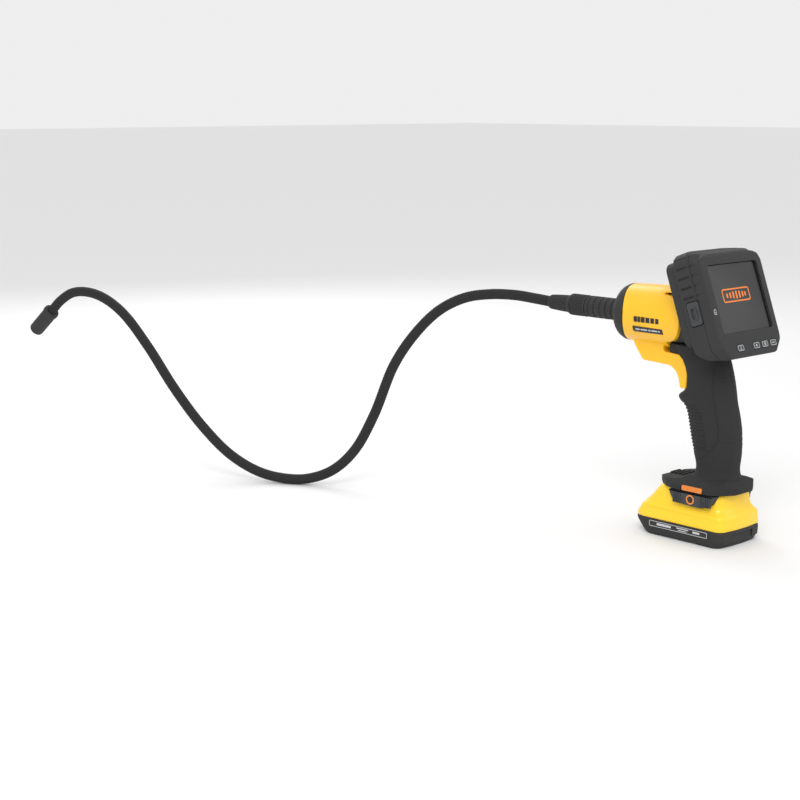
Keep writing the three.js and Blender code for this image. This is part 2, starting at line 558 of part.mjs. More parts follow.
function makePortBlock() {
  const { halfWidth } = DISPLAY;
  const body = block([-halfWidth + 4.2, -halfWidth + 14], [14.5, 21.8], [-13, 1]);
  return body.subtract(block([-halfWidth, -halfWidth + 10], [16.2, 20.2], [-11, -1]));
}

function makeButton(x) {
  const cap = rearSlab(roundedRect(x, BUTTON.z, BUTTON.width, BUTTON.height, 1.4), -2.7, BUTTON.depth - 2.7);
  return cap.add(rearSlab(roundedRect(x, BUTTON.z, 3, 3, 0.6), BUTTON.depth - 2.8, 5.2));
}

function makeDisplay() {
  const unit = new THREE.Group();
  unit.rotation.x = -TILT;
  unit.position.set(...DISPLAY.origin);
  group.add(unit);
  const { z, width, height, thick } = WINDOW;
  const add = (name, solid, colour, finish) => addPart(name, solid, colour, finish, unit);
  add('screen_bezel', makeBezel(), COLOUR.black, { roughness: 0.45 });
  add('screen_rear_cover', makeRearCover(), COLOUR.black, { roughness: 0.5 });
  add('screen_window', rearSlab(roundedRect(0, z, width, height, 2.8), 0, thick), COLOUR.glass, { roughness: 0.08 });
  add('lcd_panel', block([-35, 35], [3.9, 6.4], [-28, 31]), COLOUR.grey, { roughness: 0.2 });
  const board = block([-40, 40], [7.4, 9], [-40, 34]).add(block([-36, 36], [7.4, 9], [-49, -39]));
  add('screen_board', board, COLOUR.board);
  add('screen_battery', block([-26, 26], [13, 20], [-30, 28]), COLOUR.steel);
  add('power_button', makeButton(POWER_X), COLOUR.rubber, { roughness: 0.5 });
  MENU_X.forEach((bx, index) => add(`menu_button_${index + 1}`, makeButton(bx), COLOUR.rubber, { roughness: 0.5 }));
  add('port_cover', makePortCover(), COLOUR.rubber, { roughness: 0.6 });
  add('port_block', makePortBlock(), COLOUR.steel, { metalness: 1 });
  SCREEN_SCREWS.forEach(([sx, sz], index) => {
    const rearward = screw(1.4, 3.1, 14).rotate([0, 0, 180]).translate([sx, DISPLAY.depth - 1.4, sz]);
    add(`screen_screw_${index + 1}`, rearward, COLOUR.steel, { metalness: 1 });
  });
}

// ---------------------------------------------------------------- cable, gooseneck and camera head
class Stretch extends THREE.Curve {
  constructor(route, from, to) {
    super();
    this.route = route;
    this.from = from;
    this.span = to - from;
  }

  getPoint(t, target = new THREE.Vector3()) {
    return this.route.getPointAt(this.from + this.span * t, target);
  }
}

const route = new THREE.CatmullRomCurve3(ROUTE.map((point) => new THREE.Vector3(...point)), false, 'centripetal');
route.arcLengthDivisions = 800;
const routeLength = route.getLength();

function neckStretch(from, to) {
  const step = 11;
  const curve = new Stretch(route, from / routeLength, to / routeLength);
  curve.arcLengthDivisions = 100;
  return tube(curve, NECK.radius, Math.max(2, Math.round((to - from) / step)), NECK.sides / 2);
}

function makePlugSleeve() {
  const { socketEnd, sleeveEnd, collarEnd, pinRadius, pinStart } = PLUG;
  return turned([[0, pinStart], [pinRadius - 0.8, pinStart], [pinRadius, pinStart + 1], [pinRadius, socketEnd],
    [pinRadius, collarEnd + GAP], [8.8, collarEnd + GAP], [8.8, sleeveEnd - 8], [7.4, sleeveEnd - 1.2],
    [0, sleeveEnd - 1.2]], BARREL.z);
}

function makeCollar() {
  const { radius, boreRadius } = COLLAR;
  const [y0, y1] = [PLUG.socketEnd + GAP, PLUG.collarEnd];
  return turned([[boreRadius, y0], [radius - 1.4, y0], [radius, y0 + 1.4], [radius, y0 + 13], [radius - 1.2, y0 + 14],
    [radius - 1.2, y1 - 1], [radius - 2, y1], [boreRadius, y1]], BARREL.z, 24);
}

function atHead(solid) {
  const end = route.getPointAt(1);
  const along = route.getTangentAt(1);
  const turn = new THREE.Matrix4().makeRotationFromQuaternion(new THREE.Quaternion().setFromUnitVectors(Y, along));
  turn.setPosition(end);
  const geometry = geometryOf(solid).applyMatrix4(turn);
  return solidOf(geometry);
}

function makeCable() {
  addPart('plug_sleeve', makePlugSleeve(), COLOUR.black, { roughness: 0.3 });
  addPart('locking_collar', makeCollar(), COLOUR.rubber, { roughness: 0.5 });
  const marks = [0, ...FLEX.crest, ...FLEX.rise, ...FLEX.tip, routeLength];
  const names = ['stiff_1', 'flex_1', 'stiff_2', 'flex_2', 'stiff_3', 'flex_3', 'stiff_4'];
  names.forEach((name, index) => {
    const from = marks[index] + (index === 0 ? 0.5 : GAP / 2);
    const to = marks[index + 1] - GAP / 2;
    addPart(`gooseneck_${name}`, neckStretch(from, to), COLOUR.rubber, { roughness: 0.45 });
  });
}

function makeHead() {
  const { radius, length, lens } = HEAD;
  const shell = turned([[0, GAP], [7, GAP], [7.4, 2], [9.2, 3], [9.2, 6.5], [radius, 7.5], [radius, length - 1.5],
    [radius - 1, length], [6.6, length], [6.6, 12], [0, 12]], 0, 24);
  addPart('head_case', atHead(shell), COLOUR.black, { roughness: 0.3 });
  addPart('head_window', atHead(turned([[0, length - 2.4], [6.3, length - 2.4], [6.3, length - 0.8],
    [0, length - 0.8]], 0, 20)), COLOUR.glass, { roughness: 0.05 });
  addPart('led_ring', atHead(turned([[3.4, length - 4.4], [6.2, length - 4.4], [6.2, length - 2.8],
    [3.4, length - 2.8]], 0, 20)), COLOUR.steel);
  addPart('camera_module', atHead(turned([[0, 16], [lens, 16], [lens, length - 5], [3, length - 5],
    [3, length - 3], [0, length - 3]], 0, 20)), COLOUR.copper);
}

makeBattery();
makeTool();
makeDisplay();
makeCable();
makeHead();

export default group;
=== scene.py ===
"""Looks of a hand-held inspection camera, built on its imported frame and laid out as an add-on."""

import json
import math
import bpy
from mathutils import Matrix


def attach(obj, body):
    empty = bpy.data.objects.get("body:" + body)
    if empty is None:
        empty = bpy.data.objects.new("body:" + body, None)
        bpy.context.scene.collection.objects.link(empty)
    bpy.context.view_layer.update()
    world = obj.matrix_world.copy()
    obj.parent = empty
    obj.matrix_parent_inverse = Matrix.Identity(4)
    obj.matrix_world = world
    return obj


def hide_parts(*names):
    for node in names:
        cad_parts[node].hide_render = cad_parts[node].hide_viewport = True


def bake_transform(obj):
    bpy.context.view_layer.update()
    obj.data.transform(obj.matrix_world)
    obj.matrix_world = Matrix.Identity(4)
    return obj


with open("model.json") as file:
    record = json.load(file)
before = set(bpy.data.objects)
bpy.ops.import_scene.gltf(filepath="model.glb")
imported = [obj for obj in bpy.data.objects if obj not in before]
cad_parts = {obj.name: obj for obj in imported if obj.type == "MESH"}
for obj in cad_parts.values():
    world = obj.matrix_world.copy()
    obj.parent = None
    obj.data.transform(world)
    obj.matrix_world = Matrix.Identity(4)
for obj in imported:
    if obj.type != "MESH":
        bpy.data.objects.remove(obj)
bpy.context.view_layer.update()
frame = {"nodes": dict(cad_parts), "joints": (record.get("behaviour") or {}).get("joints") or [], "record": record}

from types import SimpleNamespace

import bmesh
import bpy
import numpy as np
from bpy.props import FloatProperty, FloatVectorProperty, IntProperty, PointerProperty
from mathutils import Matrix, Vector

bl_info = {
    "name": "Inspection camera looks",
    "version": (1, 0, 0),
    "blender": (4, 5, 0),
    "location": "3D View > Sidebar > Inspection",
    "description": "Builds the visible pieces of a pistol-grip inspection camera round its frame",
    "category": "Object",
}

MM = 0.001
LEFT, RIGHT = -1, 1
SIDES = {"left": LEFT, "right": RIGHT}
GAP = 0.3
FAR = 400.0
# Which axis each of u, v and the level runs along.
AXES_ORDER = {"plan": (0, 1, 2), "side": (1, 2, 0), "rear": (0, 2, 1)}


# ------------------------------------------------------------------ places taken from the frame
def extent(node, turn=None):
    """A frame node's box in millimetres, along the world's axes or along those of a turned place."""
    points = np.array([v.co for v in frame["nodes"][node].data.vertices]) / MM
    if turn is not None:
        back = np.array(turn.inverted())
        points = points @ back[:3, :3].T + back[:3, 3]
    low, high = points.min(0), points.max(0)
    return SimpleNamespace(low=low, high=high, mid=(low + high) / 2, size=high - low)


def joint(name):
    return next(found for found in frame["joints"] if found["name"] == name)


SLIDE = joint("display_slide")["axis"]
TILT = Matrix.Rotation(-math.atan2(SLIDE[1], SLIDE[2]), 4, "X")
WINDOW = extent("screen_window", TILT)
# The display's own place: the origin is the middle of the glass, y runs into the unit, z up its face.
UNIT = TILT @ Matrix.Translation((0, WINDOW.low[1], WINDOW.mid[2]))
WINDOW = extent("screen_window", UNIT)
BEZEL = extent("screen_bezel", UNIT)
# How far the dock's plate reaches forward in the display's own place.
DOCK_FRONT = 40.5

PACK_LOW = extent("battery_lower_case")
PACK_HIGH = extent("battery_upper_case")
STEM = SimpleNamespace(half=10.0, rear=-27.0, front=-5.0)
CAVITY = SimpleNamespace(half=29.0, rear=-37.0, front=34.0, top=26.5)
BUTTON = extent("release_button_right")
AXIS_Z = extent("cable_socket").mid[2]
BARREL_RADIUS = 30.0
NOSE = extent("nose_ring")
SOCKET = extent("cable_socket")
COLLAR = extent("locking_collar")
SLEEVE = extent("plug_sleeve")
NECK_RADIUS = 5.5
HEAD_RADIUS = 8.5
HEAD_LENGTH = 44.0

# The handle's height, front edge and rear edge, from the foot to the barrel.
HANDLE_PROFILE = np.array([
    [60, 0.5, -38.5], [74, 2, -40], [84, 5.5, -41.5], [97, 9.5, -42], [110, 12.5, -41], [121, 15, -38.8],
    [128, 18.5, -37], [133, 25.5, -35.8], [137, 26.5, -35], [141, 19, -34], [147, 17, -32.8], [158, 18,
                                                                                               -30.4],
    [170, 26, -27], [186, 34, -21],
])
HANDLE_HALF = 17.0
HANDLE_POWER = 2.44
# The seam between the ribbed front of the grip and its smooth palm, as (y, z).
GRIP_SEAM = np.array([
    [-20.6, 176], [-20.7, 150], [-22, 137], [-26.4, 120.5], [-29.1, 109], [-29.2, 100], [-24, 90.5],
    [-14, 81],
    [-3, 74],
])

# The gooseneck's centreline, as the frame has it.
ROUTE = np.array([
    [0, 197, 210], [-5, 214, 212], [-14, 235, 214.5], [-29, 258, 214.5], [-44, 279, 210], [-60, 300, 196.5],
    [-75, 320, 172], [-89, 339, 137], [-103, 357, 80], [-116, 374, 41], [-130, 394, 18], [-146, 417, 7.2],
    [-161, 440, 6], [-176, 466, 11.5], [-191, 497, 28], [-205, 530, 58], [-217, 564, 97], [-226, 600, 141],
    [-233, 636, 175], [-238, 668, 191], [-242, 697, 196], [-245, 725, 193], [-247, 750, 181], [-248, 766,
                                                                                               169],
], float)
CREST, RISE, TIP = (32, 106), (478, 552), (688, 760)


# ------------------------------------------------------------------ outlines
def rounded(corners, arc=7):
    """A closed outline with each corner (u, v, radius) turned into an arc."""
    points = np.array([corner[:2] for corner in corners], float)
    outline = []
    for i, (_, _, radius) in enumerate(corners):
        here = points[i]
        back, ahead = points[i - 1] - here, points[(i + 1) % len(points)] - here
        back_length, ahead_length = np.linalg.norm(back), np.linalg.norm(ahead)
        cosine = np.clip(back @ ahead / (back_length * ahead_length), -1, 1)
        half = math.acos(cosine) / 2
        reach = min(radius / math.tan(half), 0.48 * back_length, 0.48 * ahead_length)
        start, end = here + back / back_length * reach, here + ahead / ahead_length * reach
        for t in np.linspace(0, 1, arc):
            pull = 2 * t * (1 - t) * math.sin(half)
            weight = (1 - t) ** 2 + pull + t * t
            outline.append(((1 - t) ** 2 * start + pull * here + t * t * end) / weight)
    return np.array(outline)


def mirrored(corners):
    """Corners up the right side, repeated down the left."""
    other = [(-u, v, radius) for u, v, radius in reversed(corners) if u]
    return list(corners) + other


def box_corners(u0, u1, v0, v1, radius):
    return [(u0, v0, radius), (u1, v0, radius), (u1, v1, radius), (u0, v1, radius)]


def plate_outline(u, v, width, height, radius):
    return rounded(box_corners(u - width / 2, u + width / 2, v - height / 2, v + height / 2, radius))


def even(outline, count):
    """The outline with points spread evenly along it."""
    closed = np.vstack([outline, outline[:1]])
    steps = np.linalg.norm(np.diff(closed, axis=0), axis=1)
    along = np.concatenate([[0], np.cumsum(steps)])
    at = np.linspace(0, along[-1], count, endpoint=False)
    return np.stack([np.interp(at, along, closed[:, k]) for k in (0, 1)], 1)


def inset(outline, amount):
    """The outline moved inwards along its own normals."""
    if not amount:
        return outline
    step = np.roll(outline, -1, 0) - np.roll(outline, 1, 0)
    length = np.maximum(np.linalg.norm(step, axis=1, keepdims=True), 1e-9)
    normal = np.stack([step[:, 1], -step[:, 0]], 1) / length
    following = np.roll(outline, -1, 0)
    area = np.sum(outline[:, 0] * following[:, 1] - following[:, 0] * outline[:, 1])
    return outline - normal * amount * math.copysign(1, area)


def circle(u, v, radius, count=48):
    angle = np.linspace(0, math.tau, count, endpoint=False)
    return np.stack([u + radius * np.cos(angle), v + radius * np.sin(angle)], 1)


def smoothstep(low, high, value):
    t = np.clip((value - low) / (high - low), 0, 1)
    return t * t * (3 - 2 * t)


def eased(at, table, column, reach):
    """A column of a table read at a level, with its corners rounded over that reach."""
    spread = at + np.linspace(-reach, reach, 9)
    return float(np.mean(np.interp(spread, table[:, 0], table[:, column])))


# ------------------------------------------------------------------ solids
def solid(name, points, faces):
    """A closed mesh object from points in millimetres."""
    mesh = bpy.data.meshes.new(name)
    mesh.from_pydata((np.asarray(points) * MM).tolist(), [], faces)
    work = bmesh.new()
    work.from_mesh(mesh)
    bmesh.ops.remove_doubles(work, verts=work.verts, dist=2e-7)
    bmesh.ops.dissolve_degenerate(work, edges=work.edges, dist=2e-7)
    loose = [edge for edge in work.edges if not edge.link_faces]
    bmesh.ops.delete(work, geom=loose, context="EDGES")
    bmesh.ops.recalc_face_normals(work, faces=work.faces)
    work.to_mesh(mesh)
    work.free()
    piece = bpy.data.objects.new(name, mesh)
    bpy.context.collection.objects.link(piece)
    return piece


def skin(name, rings, looped=False, place=None):
    """A solid over rings of equally many points; its ends are capped, or joined when looped."""
    rings = np.asarray(rings, float)
    count, around = rings.shape[:2]
    points = rings.reshape(-1, 3)
    if place is not None:
        turn = np.array(place)
        points = points @ turn[:3, :3].T + turn[:3, 3]
    faces = []
    for i in range(count if looped else count - 1):
        a, b = i * around, (i + 1) % count * around
        faces += [(a + j, a + (j + 1) % around, b + (j + 1) % around, b + j) for j in range(around)]
    if not looped:
        faces += [tuple(range(around)), tuple(range((count - 1) * around, count * around))]
    return solid(name, points, faces)


def levels(low, high, rims, step):
    """Levels from low to high with the inset that rounds each rim."""
    found = []
    for angle in np.linspace(0, math.pi / 2, 6 if rims[0] else 1):
        found.append((low + rims[0] * (1 - math.cos(angle)), rims[0] * (1 - math.sin(angle))))
    if step:
        inner = np.arange(low + rims[0] + step, high - rims[1] - step / 2, step)
        found += [(level, 0.0) for level in inner]
    for angle in np.linspace(math.pi / 2, 0, 6 if rims[1] else 1):
        found.append((high - rims[1] * (1 - math.cos(angle)), rims[1] * (1 - math.sin(angle))))
    return found


def stack(name, low, high, outline_at, axes="plan", rims=(0, 0), step=None, place=None, shape=None):
    """A solid whose outline may change from level to level."""
    rings = []
    for level, amount in levels(low, high, rims, step):
        outline = inset(outline_at(level), amount)
        ring = np.column_stack([outline, np.full(len(outline), level)])
        rings.append(ring[:, np.argsort(AXES_ORDER[axes])])
    rings = np.array(rings)
    if shape is not None:
        rings = shape(rings.reshape(-1, 3)).reshape(rings.shape)
    return skin(name, rings, place=place)


def slab(name, outline, low, high, axes="plan", rims=(0, 0), place=None):
    """An outline drawn out between two levels, with rounded rims."""
    return stack(name, low, high, lambda level: outline, axes, rims, place=place)


def hoop(name, outline, width, low, high, axes="plan", place=None):
    """A flat frame that follows an outline."""
    rings = []
    for amount, level in ((0, low), (0, high), (width, high), (width, low)):
        edge = inset(outline, amount)
        ring = np.column_stack([edge, np.full(len(edge), level)])
        rings.append(ring[:, np.argsort(AXES_ORDER[axes])])
    return skin(name, rings, looped=True, place=place)


def brick(x, y, z, place=None):
    return slab("brick", np.array([[x[0], y[0]], [x[1], y[0]], [x[1], y[1]], [x[0], y[1]]], float),
                z[0], z[1], place=place)


def rod(radius, start, end, count=32, place=None):
    """A plain round bar, for boring holes and joining pieces."""
    start, end = Vector(start), Vector(end)
    turn = (end - start).to_track_quat("Z", "Y").to_matrix().to_4x4()
    whole = Matrix.Translation(start) @ turn
    if place is not None:
        whole = place @ whole
    return slab("rod", circle(0, 0, radius, count), 0, (end - start).length, place=whole)


def turned(name, corners, count=72, place=None, flutes=None):
    """A profile of (y, radius, rounding) corners turned about the barrel's axis, or about a place's own y."""
    profile = rounded(corners, 5)
    angle = np.linspace(0, math.tau, count, endpoint=False)
    rings = []
    for y, radius in profile:
        radius = max(radius, 0.0)
        around = np.full(count, radius) if flutes is None else flutes(y, radius, angle)
        rings.append(np.column_stack([around * np.cos(angle), np.full(count, y), around * np.sin(angle)]))
    if place is None:
        place = Matrix.Translation((0, 0, AXIS_Z))
    return skin(name, rings, looped=True, place=place)


def settle(piece):
    """Turns a piece's modifiers into its mesh."""
    graph = bpy.context.evaluated_depsgraph_get()
    mesh = bpy.data.meshes.new_from_object(piece.evaluated_get(graph))
    piece.modifiers.clear()
    old, piece.data = piece.data, mesh
    bpy.data.meshes.remove(old)


def discard(piece):
    mesh = piece.data
    bpy.data.objects.remove(piece)
    bpy.data.meshes.remove(mesh)


def cut(piece, *tools, operation="DIFFERENCE", tangled=False):
    """Cuts tools out of a piece, or joins or keeps what they share; the tools are used up.

    A piece whose own surface touches itself is tangled, and needs the solver's slower way.
    """
    for tool in tools:
        step = piece.modifiers.new("cut", "BOOLEAN")
        step.operation = operation
        step.solver = "EXACT"
        step.use_self = tangled
        step.object = tool
        settle(piece)
        discard(tool)
        if not piece.data.polygons:
            raise ValueError(f"nothing is left of {piece.name} after a cut")
    return piece


def join(piece, *tools):
    return cut(piece, *tools, operation="UNION")


def share(piece, *tools):
    return cut(piece, *tools, operation="INTERSECT")


def halves(piece, names):
    """Splits a piece at the parting plane and returns its left and right halves."""
    found = {}
    for name, side in SIDES.items():
        half = piece.copy()
        half.data = piece.data.copy()
        half.name = names.format(name)
        bpy.context.collection.objects.link(half)
        x = sorted((side * GAP / 2, side * FAR))
        found[name] = share(half, brick(x, (-FAR, FAR), (-FAR, FAR)))
    discard(piece)
    return found


def melt(piece, voxel, passes):
    """Remeshes a solid evenly and softens its edges, as a mould does."""
    step = piece.modifiers.new("even", "REMESH")
    step.mode = "VOXEL"
    step.voxel_size = voxel * MM
    soft = piece.modifiers.new("soft", "SMOOTH")
    soft.factor = 0.5
    soft.iterations = passes
    settle(piece)
    return piece


def finish(piece, material, body, *nodes, sharp=34):
    """Gives a piece its material and its body, and hides the frame nodes that it stands for."""
    piece.data.materials.clear()
    piece.data.materials.append(bpy.data.materials[material])
    piece.data.shade_smooth()
    piece.data.set_sharp_from_angle(angle=math.radians(sharp))
    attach(piece, body)
    if nodes:
        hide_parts(*nodes)
    return piece


# ------------------------------------------------------------------ materials
# Each frame node's material slot, as the record lists it.
NODE_SLOTS = {part["node"]: part["material_slot"] for part in frame["record"]["subparts"]}


def node(tree, kind, inputs=None, **settings):
    """Adds a shader node; inputs are values or sockets by input name or number."""
    made = tree.nodes.new(kind)
    for key, value in settings.items():
        setattr(made, key, value)
    for key, value in (inputs or {}).items():
        if isinstance(value, bpy.types.NodeSocket):
            tree.links.new(value, made.inputs[key])
        else:
            made.inputs[key].default_value = value
    return made


def shader_group(name, sockets, outputs):
    """An empty node group with float sockets, and its input and output nodes."""
    tree = bpy.data.node_groups.new(name, "ShaderNodeTree")
    for label, value in sockets.items():
        socket = tree.interface.new_socket(label, in_out="INPUT", socket_type="NodeSocketFloat")
        socket.default_value = value
    for label in outputs:
        tree.interface.new_socket(label, in_out="OUTPUT", socket_type="NodeSocketFloat")
    return tree, tree.nodes.new("NodeGroupInput"), tree.nodes.new("NodeGroupOutput")


def build_grain_group():
    """The fine spark-eroded grain of a moulding, as a height."""
    tree, given, result = shader_group("moulded_grain", {"Size": 1.0}, ["Height"])
    place = node(tree, "ShaderNodeTexCoord")
    scale = node(tree, "ShaderNodeMath", {0: 1400.0, 1: given.outputs["Size"]}, operation="DIVIDE")
    fine = node(tree, "ShaderNodeTexNoise", {"Vector": place.outputs["Object"], "Scale": scale.outputs[0],
                                             "Detail": 3.0, "Roughness": 0.6})
    cells = node(tree, "ShaderNodeTexVoronoi", {"Vector": place.outputs["Object"], "Scale": scale.outputs[0]})
    total = node(tree, "ShaderNodeMath", {0: fine.outputs[0], 1: cells.outputs[0]}, operation="ADD")
    tree.links.new(total.outputs[0], result.inputs["Height"])


def build_marks_group():
    """Broad handling marks and small scuffs, from 0 to 1."""
    tree, given, result = shader_group("handling_marks", {"Amount": 1.0}, ["Mask"])
    place = node(tree, "ShaderNodeTexCoord")
    broad = node(tree, "ShaderNodeTexNoise", {"Vector": place.outputs["Object"], "Scale": 26.0, "Detail": 5.0,
                                              "Roughness": 0.62})
    small = node(tree, "ShaderNodeTexNoise", {"Vector": place.outputs["Object"], "Scale": 240.0,
                                              "Detail": 2.0})
    total = node(tree, "ShaderNodeMath", {0: broad.outputs[0], 1: small.outputs[0]}, operation="MULTIPLY")
    spread = node(tree, "ShaderNodeMapRange", {"Value": total.outputs[0], "From Min": 0.12, "From Max": 0.42})
    scaled = node(tree, "ShaderNodeMath", {0: spread.outputs[0], 1: given.outputs["Amount"]},
                  operation="MULTIPLY")
    tree.links.new(scaled.outputs[0], result.inputs["Mask"])


def build_wear_group():
    """How far a point lies on a worn outer edge, from 0 to 1."""
    tree, given, result = shader_group("edge_wear", {"Amount": 1.0}, ["Mask"])
    shape = node(tree, "ShaderNodeNewGeometry")
    edge = node(tree, "ShaderNodeMapRange", {"Value": shape.outputs["Pointiness"], "From Min": 0.52,
                                             "From Max": 0.62})
    scaled = node(tree, "ShaderNodeMath", {0: edge.outputs[0], 1: given.outputs["Amount"]},
                  operation="MULTIPLY")
    tree.links.new(scaled.outputs[0], result.inputs["Mask"])


def surface(name, base, roughness, *, metallic=0.0, coat=0.0, grain=0.0, size=1.0, wear=0.0, marks=0.5,
            shine=0.5):
    """A material with grain, handling marks and worn edges."""
    made = bpy.data.materials.new(name)
    made.use_nodes = True
    tree = made.node_tree
    tree.nodes.clear()
    bsdf = node(tree, "ShaderNodeBsdfPrincipled", {"Metallic": metallic, "Coat Weight": coat,
                                                   "Coat Roughness": 0.12, "IOR": 1.5,
                                                   "Specular IOR Level": shine})
    out = node(tree, "ShaderNodeOutputMaterial", {"Surface": bsdf.outputs[0]})
    smudge = node(tree, "ShaderNodeGroup", node_tree=bpy.data.node_groups["handling_marks"])
    smudge.inputs["Amount"].default_value = marks
    worn = node(tree, "ShaderNodeGroup", node_tree=bpy.data.node_groups["edge_wear"])
    worn.inputs["Amount"].default_value = wear
    dark = tuple(0.86 * channel for channel in base)
    light = tuple(min(1.0, 1.12 * channel + 0.02) for channel in base)
    tone = node(tree, "ShaderNodeMix", {0: smudge.outputs["Mask"], 6: (*base, 1), 7: (*dark, 1)},
                data_type="RGBA")
    edged = node(tree, "ShaderNodeMix", {0: worn.outputs["Mask"], 6: tone.outputs[2], 7: (*light, 1)},
                 data_type="RGBA")
    tree.links.new(edged.outputs[2], bsdf.inputs["Base Color"])
    rough = node(tree, "ShaderNodeMapRange", {"Value": smudge.outputs["Mask"],
                                              "To Min": roughness, "To Max": min(1.0, roughness + 0.09)})
    tree.links.new(rough.outputs[0], bsdf.inputs["Roughness"])
    if grain:
        texture = node(tree, "ShaderNodeGroup", node_tree=bpy.data.node_groups["moulded_grain"])
        texture.inputs["Size"].default_value = size
        bump = node(tree, "ShaderNodeBump", {"Height": texture.outputs["Height"], "Strength": grain,
                                             "Distance": 0.0002})
        tree.links.new(bump.outputs[0], bsdf.inputs["Normal"])
    return made


def glass(name, base, transmission):
    """A clear or smoked window."""
    made = bpy.data.materials.new(name)
    made.use_nodes = True
    bsdf = made.node_tree.nodes["Principled BSDF"]
    bsdf.inputs["Base Color"].default_value = (*base, 1)
    bsdf.inputs["Roughness"].default_value = 0.04
    bsdf.inputs["IOR"].default_value = 1.49
    bsdf.inputs["Transmission Weight"].default_value = transmission
    return made


class INSPECT_OT_materials(bpy.types.Operator):
    """Makes every material, from shared groups for grain, handling marks and worn edges."""
    bl_idname = "inspect.materials"
    bl_label = "Materials"

    def execute(self, context):
        look = context.scene.inspect_look
        build_grain_group()
        build_marks_group()
        build_wear_group()
        pack, housing = tuple(look.pack_colour), tuple(look.housing_colour)
        wear, marks = look.wear, look.marks
        surface("pack_yellow", pack, 0.36, coat=0.06, grain=0.12, wear=wear, marks=marks)
        surface("housing_yellow", housing, 0.36, coat=0.06, grain=0.12, wear=wear, marks=marks)
        surface("black_plastic", (0.005, 0.0051, 0.0058), 0.31, grain=0.2, wear=wear, marks=marks, shine=0.1)
        surface("grip_rubber", (0.004, 0.004, 0.0044), 0.34, grain=0.26, size=1.4, wear=0.6 * wear,
                marks=marks, shine=0.1)
        surface("gooseneck_black", (0.005, 0.005, 0.0055), 0.34, grain=0.18, wear=wear, marks=marks,
                shine=0.12)
        surface("button_grey", (0.011, 0.0112, 0.0122), 0.36, grain=0.16, wear=wear, marks=marks, shine=0.16)
        surface("window_glass", (0.0035, 0.0035, 0.0045), 0.09, marks=0.3 * marks, shine=0.05)
        glass("lens_glass", (0.32, 0.33, 0.36), 0.75)
        surface("steel", (0.56, 0.56, 0.57), 0.3, metallic=1.0, grain=0.1, wear=wear, marks=marks)
        surface("board_green", (0.02, 0.12, 0.05), 0.38, coat=0.3, grain=0.15, marks=marks)
        surface("cell_wrap", (0.05, 0.16, 0.45), 0.3, coat=0.3, grain=0.05, marks=marks)
        surface("contact_copper", (0.7, 0.45, 0.2), 0.32, metallic=1.0, marks=marks)
        surface("label_film", (0.011, 0.011, 0.013), 0.3, coat=0.2, grain=0.05, marks=marks)
        surface("print_pale", (0.55, 0.56, 0.58), 0.45, grain=0.05, marks=marks)
        surface("print_orange", (0.82, 0.2, 0.015), 0.42, grain=0.05, marks=marks)
        surface("orange_trim", (0.82, 0.22, 0.02), 0.42, grain=0.08, wear=wear, marks=marks)
        for name, body in frame["nodes"].items():
            slot = NODE_SLOTS[name]
            body.data.materials.clear()
            body.data.materials.append(bpy.data.materials[slot])
        return {"FINISHED"}



# ------------------------------------------------------------------ battery pack
def pack_plan(half, front, rear):
    """The pack seen from above, for its half width and its ends."""
    return rounded(mirrored([
        (9, rear, 20), (half - 4, rear + 2, 6), (half, rear + 6.8, 5), (half, front - 13, 14),
        (half - 1.6, front - 6, 6), (half - 6, front - 1.6, 5), (half - 13, front, 12)]), 9)


SHELL_FORM = np.array([
    [16.3, 31.9, 56.6, -49.4], [17.1, 32.5, 57, -50], [21.2, 32.5, 56.1, -50], [21.8, 32.1, 55.4, -49.6],
    [29, 31.8, 50.8, -49.4], [32.5, 28.6, 47.8, -46.5], [36, 27.2, 44.2, -44], [44, 26, 38, -43],
    [48.6, 25.3, 34, -42.4], [49.5, 24.4, 32.6, -41.6],
])
BASE_FORM = np.array([
    [0, 31, 45.5, -45.4], [1.2, 32.2, 46.8, -46.4], [4, 32.5, 49.4, -47.2], [5.5, 32.5, 50.6, -49.6],
    [13, 32.5, 56.8, -50], [15.3, 32.5, 57, -50], [16, 31.9, 56.5, -49.4],
])


def form(name, table, step, reach):
    """A body of the pack's plan whose width and ends follow a table of heights."""
    heights = np.unique(np.concatenate([table[:, 0], np.arange(table[0, 0], table[-1, 0], step)]))
    rings = []
    for z in heights:
        soft = reach * min(1, min(z - table[0, 0], table[-1, 0] - z) / (reach + 1e-6))
        half, front, rear = (eased(z, table, k, soft) for k in (1, 2, 3))
        outline = pack_plan(half, front, rear)
        rings.append(np.column_stack([outline, np.full(len(outline), z)]))
    return skin(name, rings)


def release_outline(grow):
    """A release button's outline, as (y, z)."""
    rear, front, low, high = BUTTON.low[1], BUTTON.high[1], BUTTON.low[2], BUTTON.high[2]
    return rounded([
        (front + grow, high + grow, 0.5), (front - 2 + grow, high - 5, 3), (front - 7, low + 1.2 - grow, 4),
        (-12, low - grow, 20), (-25, low - grow, 8), (rear + 3 - grow, low + 5, 5),
        (rear - grow, high + grow, 0.5)], 7)


